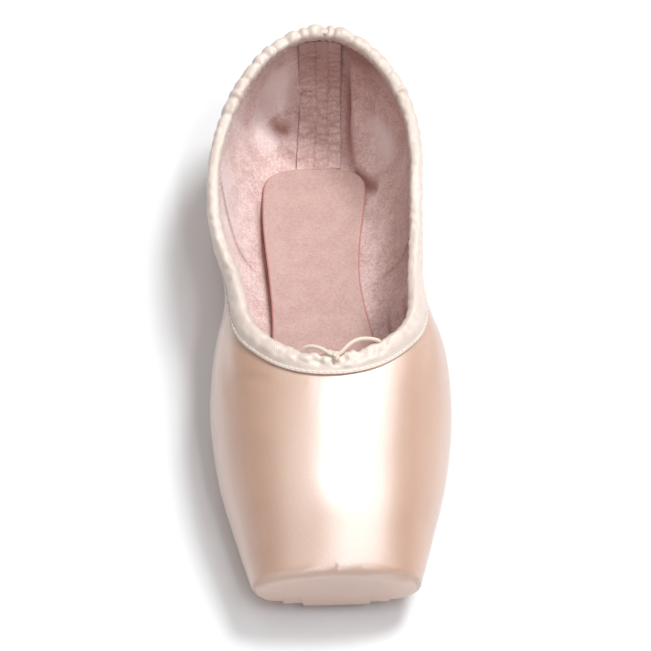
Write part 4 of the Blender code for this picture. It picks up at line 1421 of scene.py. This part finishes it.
gather_tree, nodes, given = new_tree("gathers", GATHERS)
count = nodes.add("GeometryNodeInputNamedAttribute", {"data_type": "FLOAT"}, {"Name": "puffs"})
tight = nodes.add("GeometryNodeInputNamedAttribute", {"data_type": "FLOAT"}, {"Name": "tight"})
part = count.math("FRACT") * 2 - 1
form = (1 - part * part).math("SQRT") - PUFF_LEVEL
normal = nodes.add("GeometryNodeInputNormal")
out = normal.vector("SCALE")
nodes.tree.links.new((form * tight * given.also("Puff Height")).output, out.output.node.inputs["Scale"])
up = nodes.add("ShaderNodeCombineXYZ", None, {"Z": form * tight * given.also("Puff Lift")})
offset = out.vector("ADD", up)
moved = nodes.add("GeometryNodeSetPosition", None, {"Geometry": given, "Offset": offset})
end_tree(nodes, moved, given.also("Material"))
run_tree(casing, gather_tree, GATHERS)
print(casing.name, triangles(casing), "triangles after gathering")

# %% [markdown]
# ## Stitches
#
# A seam is the same short stitch again and again along a line. The tree turns a line of points into a
# curve, cuts it into even steps, and lays a small thread, thicker in the middle, along each step.
# Modelled one by one this would be hundreds of objects, and as a texture it would have no height.

# %% Random numbers and steps in a tree
def random_value(nodes, low, high, seed):
    """A random number for each point or curve. The node keeps sockets for every kind of value under the
    same names, so the ones for plain numbers are found by whether they are in use."""
    node = nodes.tree.nodes.new("FunctionNodeRandomValue")
    used = {socket.name: socket for socket in node.inputs if socket.enabled}
    used["Min"].default_value, used["Max"].default_value = low, high
    nodes.tree.links.new(seed.output, used["Seed"])
    return Wire(nodes, next(socket for socket in node.outputs if socket.enabled))


def even_steps(nodes, given):
    """The given line as a curve, cut into even steps."""
    curve = nodes.add("GeometryNodeMeshToCurve", None, {"Mesh": given})
    sockets = {"Curve": curve, "Length": given.also("Pitch")}
    return nodes.add("GeometryNodeResampleCurve", {"mode": "LENGTH"}, sockets)


print("trees take their random numbers from a seed that is one of their inputs")

# %% The stitch tree
STITCHES = {"Pitch": 0.0021, "Length": 0.0016, "Thickness": 0.0005, "Seed": 3, "Material": cream_thread}

stitch_tree, nodes, given = new_tree("stitches", STITCHES)
steps = even_steps(nodes, given)
ball = nodes.add("GeometryNodeMeshUVSphere", None, {"Segments": 6, "Rings": 6, "Radius": 0.5})
thick = given.also("Thickness")
size = nodes.add("ShaderNodeCombineXYZ", None, {"X": given.also("Length"), "Y": thick, "Z": thick})
thread = nodes.add("GeometryNodeTransform", None, {"Geometry": ball, "Scale": size})
ahead = nodes.add("GeometryNodeInputTangent")
wobble = random_value(nodes, -0.10, 0.10, given.also("Seed"))
turned = ahead.vector("ADD", nodes.add("ShaderNodeCombineXYZ", None, {"X": wobble, "Z": wobble}))
turn = nodes.add("FunctionNodeAlignRotationToVector", {"axis": "X"}, {"Vector": turned})
sockets = {"Points": steps, "Instance": thread, "Rotation": turn}
laid = nodes.add("GeometryNodeInstanceOnPoints", None, sockets)
end_tree(nodes, laid, given.also("Material"))
print("stitch tree:", len(stitch_tree.nodes), "nodes")


# %% Seams
def line_piece(name, points, closed):
    """A line of points and edges, for a tree to work along."""
    count = len(points)
    edges = [(i, (i + 1) % count) for i in range(count if closed else count - 1)]
    data = bpy.data.meshes.new(name)
    data.from_pydata(np.asarray(points).tolist(), edges, [])
    return add_object(name, data)


def sewn(name, points, closed, material, **sizes):
    """A row of stitches along a line of points."""
    piece = line_piece(name, points, closed)
    return run_tree(piece, stitch_tree, {**STITCHES, **sizes, "Material": material})


def on_casing(stops):
    return lean(on_wall(casing_paths, stops))


hem_line = on_casing([Stop(STITCH_DOWN - 0.001, STITCH_OUT), Stop(STITCH_DOWN, STITCH_OUT)])[:, 1]
inner_line = on_casing([Stop(0.0, INNER_STITCH_OUT), Stop(INNER_STITCH_DOWN, INNER_STITCH_OUT)])[:, 1]
casing_stitches = sewn("casing_stitches", hem_line, True, cream_thread)
inner_stitches = sewn("casing_inner_stitches", inner_line, True, cream_thread, Pitch=0.0026)
print("stitches round the collar:", triangles(casing_stitches), "triangles")

# %% [markdown]
# ## The insole
#
# The insole is a flat cut of sueded leather, glued in over the turned-in edges of the upper. Its left
# edge has come up a little, and its cut edges are redder than its face. Two curved faces over its
# outline would be enough for a solid; here the rim is also rounded, dished and lifted.

# %% Insole
ALONG, ACROSS = 200, 46
INSOLE_LIFT = 0.0011
LIFT_STARTS, LIFT_ENDS = (-0.050, -0.005), (0.045, 0.066)
DISH_HEIGHT, DISH_SIZE, DISH_SEED = 0.00012, 0.032, 41
EDGE_ROUND, END_EDGE = 0.0007, 1.2


def slab(outline, low, high, edge_round, along_count, across_count):
    """Rings of points round a thin sole, and for each point its distance from the cut edge."""
    line = outline_half(outline, along_count)[1:-1]
    across = np.sin(np.linspace(-pi / 2, pi / 2, across_count))
    x = line[:, :1] * across
    y = np.repeat(line[:, 1:2], across_count, axis=1)
    inside = line[:, :1] - np.abs(x)
    from_ends = np.minimum(y - outline.front, outline.back - y)
    inside = np.minimum(inside, END_EDGE * from_ends)
    rounding = edge_round * (1 - np.clip(inside / (2 * edge_round), 0, 1)) ** 2
    top = np.stack([x, y, high(x, y) - rounding], axis=-1)
    keep = slice(None, None, -3)
    bottom = np.stack([x, y, low(x, y) + rounding], axis=-1)[:, keep]
    rings = np.concatenate([top, bottom], axis=1)
    return rings, np.concatenate([inside, inside[:, keep]], axis=1)


def insole_low(x, y):
    return underside_at(x - INSOLE_ASIDE, y) + wall_at(y) + 2 * GAP


def insole_high(x, y):
    """The face: lifted along the left edge and slightly dished."""
    half = np.maximum(np.interp(y, insole_line[:, 1], insole_line[:, 0]), 0.001)
    left = np.clip(-x / half, 0, 1)
    lifted = INSOLE_LIFT * left**4 * smoothstep(y, *LIFT_STARTS) * (1 - smoothstep(y, *LIFT_ENDS))
    dish = DISH_HEIGHT * waviness(np.stack([x, y, 0 * x], axis=-1), DISH_SIZE, DISH_SEED)
    return insole_low(x, y) + INSOLE_THICKNESS + lifted + dish


insole_line = outline_half(INSOLE, ALONG)
insole_rings, insole_inside = slab(INSOLE, insole_low, insole_high, EDGE_ROUND, ALONG, ACROSS)
insole_data = grid_mesh("sueded_insole", lean(insole_rings), False)
insole_data.transform(Matrix.Translation((-INSOLE_ASIDE, 0, 0)))
set_value(insole_data, "edge", 1 - smoothstep(insole_inside, 0.0001, 0.0008))
sueded_insole = new_piece("sueded_insole", insole_data, insole_suede)
print(sueded_insole.name, triangles(sueded_insole), "triangles")

# %% [markdown]
# ## The heel strip
#
# A strip of suede covers the back seam inside, from the casing down to the insole. It is not glued
# over its whole width, so it has gone into fine wrinkles across, as a ribbon does when its ends are
# pushed together. They are the sum of short random swells, squeezed so that they lie across.

# %% Heel strip
STRIP_COLUMNS, STRIP_ROWS = 61, 260
STRIP_BANDS = (-0.0018, 0.0036)
WRINKLE_SEED = 51
WRINKLE_PITCH = 0.0032
WRINKLE_HEIGHT = 0.00085
WRINKLES_START = 0.012
WRINKLE_WIDTH, WRINKLE_SHADE_WIDTH, WRINKLE_SHADE_DOWN = 0.0010, 0.0008, 0.0014
SEAM_WIDTH, SEAM_DEPTH = 0.0005, 0.00030
HEM_WIDTH, HEM_HEIGHT = 0.0012, 0.00025
# how much darker the strip is coloured at its hem and seams, and how strong its painted shade is below the
# wrinkles and near its top
TONES = {"hem": 0.05, "seam": 0.18, "wrinkle_shade": 0.42, "shade": 0.34}
SHADE_FROM, SHADE_TO = 0.020, 0.055

heel_line = collar_line[collar_line[:, 1] > HEEL_FAN][::-1]
strip_across = np.linspace(-STRIP_WIDTH / 2, STRIP_WIDTH / 2, STRIP_COLUMNS)
strip_end = np.full(STRIP_COLUMNS, INSOLE.back + 0.0004)
strip_top = points_at(np.abs(strip_across), heel_line[:, 0], heel_line[:, 1:])
strip_starts = np.column_stack([strip_across, strip_top])
strip_ends = np.column_stack([strip_across, strip_end, underside_at(strip_across, strip_end)])
fan, level = np.full(STRIP_COLUMNS, HEEL_FAN), np.full(STRIP_COLUMNS, CENTRE_HEIGHT)
strip_centres = np.column_stack([strip_across, fan, level])
strip_ways = np.tile([0.0, 1.0], (STRIP_COLUMNS, 1))
strip_paths = paths_over(strip_centres, strip_ways, strip_starts, strip_ends)[::-1]
strip_length = lengths_of(strip_paths[STRIP_COLUMNS // 2])[-1]
strip_levels = np.linspace(CASING_INSIDE + 2 * GAP, strip_length, STRIP_ROWS)
strip_grid = np.array(
    [at_lengths(path, strip_levels * lengths_of(path)[-1] / strip_length) for path in strip_paths]
)
strip_away = outward(strip_grid, False)

random = np.random.default_rng(WRINKLE_SEED)
aside, down = np.broadcast_arrays(strip_across[::-1, None], strip_levels[None])
wrinkle, wrinkle_shade = 0 * aside, 0 * aside
sides = (-STRIP_WIDTH / 2, *STRIP_BANDS, STRIP_WIDTH / 2)
for low, high in zip(sides[:-1], sides[1:]):
    place = WRINKLES_START
    while place < strip_length:
        place += WRINKLE_PITCH * random.uniform(0.5, 1.5)
        middle, reach = random.uniform(low, high), (high - low) * random.uniform(0.5, 1.1)
        line = place + random.uniform(-0.2, 0.2) * (aside - middle)
        line = line + 0.0004 * np.sin(900 * aside + place * 5000)
        across = np.exp(-(((aside - middle) / reach) ** 4)) * (aside > low) * (aside < high)
        ridge = np.exp(-(((down - line) / WRINKLE_WIDTH) ** 2))
        wrinkle = wrinkle + random.uniform(0.4, 1.0) * across * ridge
        # painted shade: a dark band just below each wrinkle's ridge, in colour only; the relief has no
        # groove there
        wrinkle_shade_band = np.exp(-(((down - line - WRINKLE_SHADE_DOWN) / WRINKLE_SHADE_WIDTH) ** 2))
        wrinkle_shade = wrinkle_shade + random.uniform(0.2, 0.9) * across * wrinkle_shade_band
centre_seam = sum(np.exp(-(((aside - place) / SEAM_WIDTH) ** 2)) for place in STRIP_BANDS)
hem = smoothstep(np.abs(strip_across[::-1, None]), STRIP_WIDTH / 2 - HEM_WIDTH, STRIP_WIDTH / 2)
strip_relief = WRINKLE_HEIGHT * wrinkle - SEAM_DEPTH * centre_seam + HEM_HEIGHT * hem
strip_depth = WALL + 1.5 * GAP + STRIP_THICKNESS
strip_face = strip_grid - strip_away * (strip_depth - strip_relief)[..., None]
strip_back = (strip_grid - strip_away * (WALL + 1.5 * GAP))[:, ::-4]
strip_rings = lean(np.concatenate([strip_face, strip_back], axis=1))
strip_data = grid_mesh("suede_heel_strip", strip_rings, False)
# painted shade: darker towards the top of the strip, in the shade under the casing
in_shade = 1 - smoothstep(down, SHADE_FROM, SHADE_TO)
strip_marks_and_shade = sum(tone * mask for tone, mask in zip(TONES.values(), (hem, centre_seam, wrinkle_shade, in_shade)))
strip_marks_and_shade = np.clip(strip_marks_and_shade, 0, 0.9)
strip_marks_and_shade = np.concatenate([strip_marks_and_shade, strip_marks_and_shade[:, ::-4]], axis=1)
set_value(strip_data, "edge", strip_marks_and_shade)
heel_strip = new_piece("suede_heel_strip", strip_data, lining_suede)
print(heel_strip.name, triangles(heel_strip), "triangles")

# %% [markdown]
# ## The outsole
#
# The outsole is a thin leather, narrower than the shoe, with a groove near its edge in which it is
# sewn on. Nothing of it shows in the photograph, so it is kept plain, as such soles are.

# %% Outsole
GROOVE_INSET, GROOVE_WIDTH, GROOVE_DEPTH = 0.0034, 0.0006, 0.0005
OUTSOLE_EDGE_ROUND = -0.0009
OUTSOLE_STITCHES = {"Pitch": 0.0042, "Length": 0.0034, "Thickness": 0.00045}


def outsole_high(x, y):
    return underside_at(x, y) - GAP


def outsole_low(x, y):
    return sole_lift(y) + 0 * x


sole_rings, sole_inside = slab(
    OUTSOLE, outsole_high, outsole_low, OUTSOLE_EDGE_ROUND, ALONG, 3 * ACROSS
)
groove = GROOVE_DEPTH * np.exp(-(((sole_inside - GROOVE_INSET) / GROOVE_WIDTH) ** 2))
sole_rings[:, : 3 * ACROSS, 2] += groove[:, : 3 * ACROSS]
outsole_data = grid_mesh("leather_outsole", lean(sole_rings), False)
set_value(outsole_data, "edge", 1 - smoothstep(sole_inside, 0.0002, 0.0016))
leather_outsole = new_piece("leather_outsole", outsole_data, sole_leather)

groove_half = outline_half(OUTSOLE, ALONG, GROOVE_INSET)
groove_half[:, 2] = sole_lift(groove_half[:, 1]) + GROOVE_DEPTH - 0.0001
outsole_stitches = sewn(
    "outsole_stitches", lean(whole_round(groove_half)), True, cream_thread, **OUTSOLE_STITCHES
)
print(leather_outsole.name, triangles(leather_outsole), "triangles")

# %% [markdown]
# ## The drawstring
#
# The elastic comes out of the casing on the left of the throat, dips into the knot in the pinched
# middle, and goes back into the casing on the right in a higher loop. A cord is best drawn as a
# curve: its route is a few bends, and one smooth curve through them gives the thickness its line.

# %% Drawstring and knot
# each bend: how far across the shoe, back from the casing's top edge and up from it, in millimetres
DRAWSTRING = (
    (-10, 0.6, -0.2), (-9.2, 1.2, 0.7), (-7.4, 1.7, 1.5), (-5.2, 1.5, 1.8), (-3.2, 0.8, 1.8),
    (-1.4, -0.2, 1.5), (0.2, -1.1, 1.2), (1.8, -1.3, 1.1), (3.4, -0.6, 1.4), (5, 0.7, 1.9),
    (7, 2.2, 2.3), (9.4, 3.1, 2.3), (12, 3, 1.9), (14.4, 2.2, 1.3), (16.2, 1.2, 0.7),
    (17.2, 0.6, -0.2),
)
CORD_STEPS = 60


def cord_route(bends, count):
    """The smooth route through the bends, each measured from the casing's top edge at its place."""
    throat = collar_line[collar_line[:, 1] < TOE_FAN]
    across, back, up = np.array(bends).T / 1000
    edge_y, edge_z = points_at(np.abs(across), throat[:, 0], throat[:, 1:]).T
    route = np.column_stack([across, edge_y + back, edge_z + GAP + CASING_WALL + up])
    return lean(smooth_line(route, count))


def tube(name, points, diameter, material):
    """A curve of one open line with a round section."""
    data = bpy.data.curves.new(name, "CURVE")
    data.dimensions = "3D"
    data.bevel_depth = diameter / 2
    data.bevel_resolution = 4
    data.use_fill_caps = True
    spline = data.splines.new("POLY")
    spline.points.add(len(points) - 1)
    for place, point in zip(spline.points, points):
        place.co = (*point, 1)
    data.materials.append(material)
    return add_object(name, data)


drawstring_points = cord_route(DRAWSTRING, CORD_STEPS)
drawstring = tube("drawstring", drawstring_points, CORD_DIAMETER, elastic)

KNOT_POINTS, KNOT_THREAD = 90, 0.8 * CORD_DIAMETER
low_corner, high_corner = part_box("drawstring_knot")
knot_middle, knot_size = (low_corner + high_corner) / 2, high_corner - low_corner
turn = np.linspace(0, 2 * pi, KNOT_POINTS, endpoint=False)
knot_line = np.column_stack(
    [
        (np.sin(turn) + 2 * np.sin(2 * turn)) / 6 * knot_size.x,
        (np.cos(turn) - 2 * np.cos(2 * turn)) / 6 * knot_size.y,
        -np.sin(3 * turn) / 2 * (knot_size.z - CORD_DIAMETER) * 0.8,
    ]
) + np.array(knot_middle)
knot = tube("drawstring_knot_turns", knot_line, KNOT_THREAD, elastic)
knot.data.splines[0].use_cyclic_u = True

# %% [markdown]
# ## Seams of the lining, and frayed suede
#
# The lining is sewn together at the sides, and along the insole's lifted edge the suede has begun to
# fray. Fray is hair: short fibres at random angles, scattered by a tree along the edge.

# %% Lining seams
SEAM_POINTS, SEAM_SMOOTHINGS = 40, 4
SEAM_STITCHES = {"Pitch": 0.0024, "Thickness": 0.00032}

face = lining_face.reshape(-1, 3)
for side, route in zip(("right", "left"), LINING_SEAMS):
    wanted = smooth_line(route, SEAM_POINTS)
    seam = face[[((face - point) ** 2).sum(axis=1).argmin() for point in wanted]]
    for _ in range(SEAM_SMOOTHINGS):
        seam[1:-1] = (seam[:-2] + seam[1:-1] + seam[2:]) / 3
    row = sewn(f"lining_seam_stitches_{side}", seam, False, rose_thread, **SEAM_STITCHES)
    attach(row, "root")
print("lining seams:", len(LINING_SEAMS))


# %% Fray
FRAY_FROM, FRAY_TO, FRAY_OFF, FRAY_POINTS = -0.030, 0.046, 0.0006, 40
FRAY = {"Pitch": 0.00016, "Length": 0.0022, "Thickness": 0.00007, "Seed": 8, "Material": rose_thread}

fray_tree, nodes, given = new_tree("fray", FRAY)
steps = even_steps(nodes, given)
cone = {"Vertices": 4, "Radius Top": 0.05, "Radius Bottom": 0.5, "Depth": 1.0}
fibre = nodes.add("GeometryNodeMeshCone", None, cone)
thick = given.also("Thickness")
long = given.also("Length") * random_value(nodes, 0.3, 1.0, given.also("Seed"))
size = nodes.add("ShaderNodeCombineXYZ", None, {"X": thick, "Y": thick, "Z": long})
leans = [random_value(nodes, -0.9, 0.9, given.also("Seed") + shift) for shift in (1, 2)]
turn = nodes.add("ShaderNodeCombineXYZ", None, {"X": leans[0], "Y": leans[1]})
sockets = {"Points": steps, "Instance": fibre, "Rotation": turn, "Scale": size}
laid = nodes.add("GeometryNodeInstanceOnPoints", None, sockets)
end_tree(nodes, laid, given.also("Material"))

frayed_edge = lean(insole_rings[:, 1])[:: len(insole_rings) // FRAY_POINTS]
frayed_edge = frayed_edge - [INSOLE_ASIDE + FRAY_OFF, 0, FRAY_OFF]
frayed_edge = frayed_edge[(frayed_edge[:, 1] > FRAY_FROM) & (frayed_edge[:, 1] < FRAY_TO)]
fray = run_tree(line_piece("suede_fray", frayed_edge, False), fray_tree, FRAY)
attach(fray, "root")
print(fray.name, triangles(fray), "triangles")

# %% [markdown]
# ## What each piece rides on and stands for
#
# Nothing on this shoe moves on its own, so every piece rides on the one body. Each row of the table
# gives a dressed piece, the slot of its finish, and the solids that it stands for, which are hidden.

# %% Riding and replacing
DRESSED = (
    (satin_upper, "satin", ("upper",)),
    (suede_lining, "lining_suede", ()),
    (casing, "casing_satin", ("collar_casing",)),
    (casing_stitches, "casing_satin", ()),
    (inner_stitches, "casing_satin", ()),
    (sueded_insole, "insole_suede", ("insole",)),
    (heel_strip, "lining_suede", ("heel_strip",)),
    (leather_outsole, "sole_leather", ("outsole",)),
    (outsole_stitches, "sole_leather", ()),
    (drawstring, "elastic", ("drawstring_left", "drawstring_right")),
    (knot, "elastic", ("drawstring_knot",)),
)
for piece, slot, stood_for in DRESSED:
    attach(piece, "root")
    if stood_for:
        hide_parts(*stood_for)
print("pieces:", len(DRESSED))

# %% The floor's own finish
paper, nodes, feed = new_material("studio paper", {"Roughness": 0.9, "Specular IOR Level": 0.2})
grain = noise(nodes, place_in(nodes), 40.0)
feed("Base Color", nodes.blend(grain, paint(240, 239, 240), paint(236, 235, 237)))
floor.data.materials.append(paper)

# %% [markdown]
# ## Size
#
# The box round the solids and the box round the dressed shoe are both printed.

# %% Sizes and finish
VISUAL_BOX = [list(corner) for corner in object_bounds()]
for name, (low, high) in (("solids", CAD_BOX), ("dressed", VISUAL_BOX)):
    print(name, [round((b - a) * 1000, 1) for a, b in zip(low, high)], "mm")
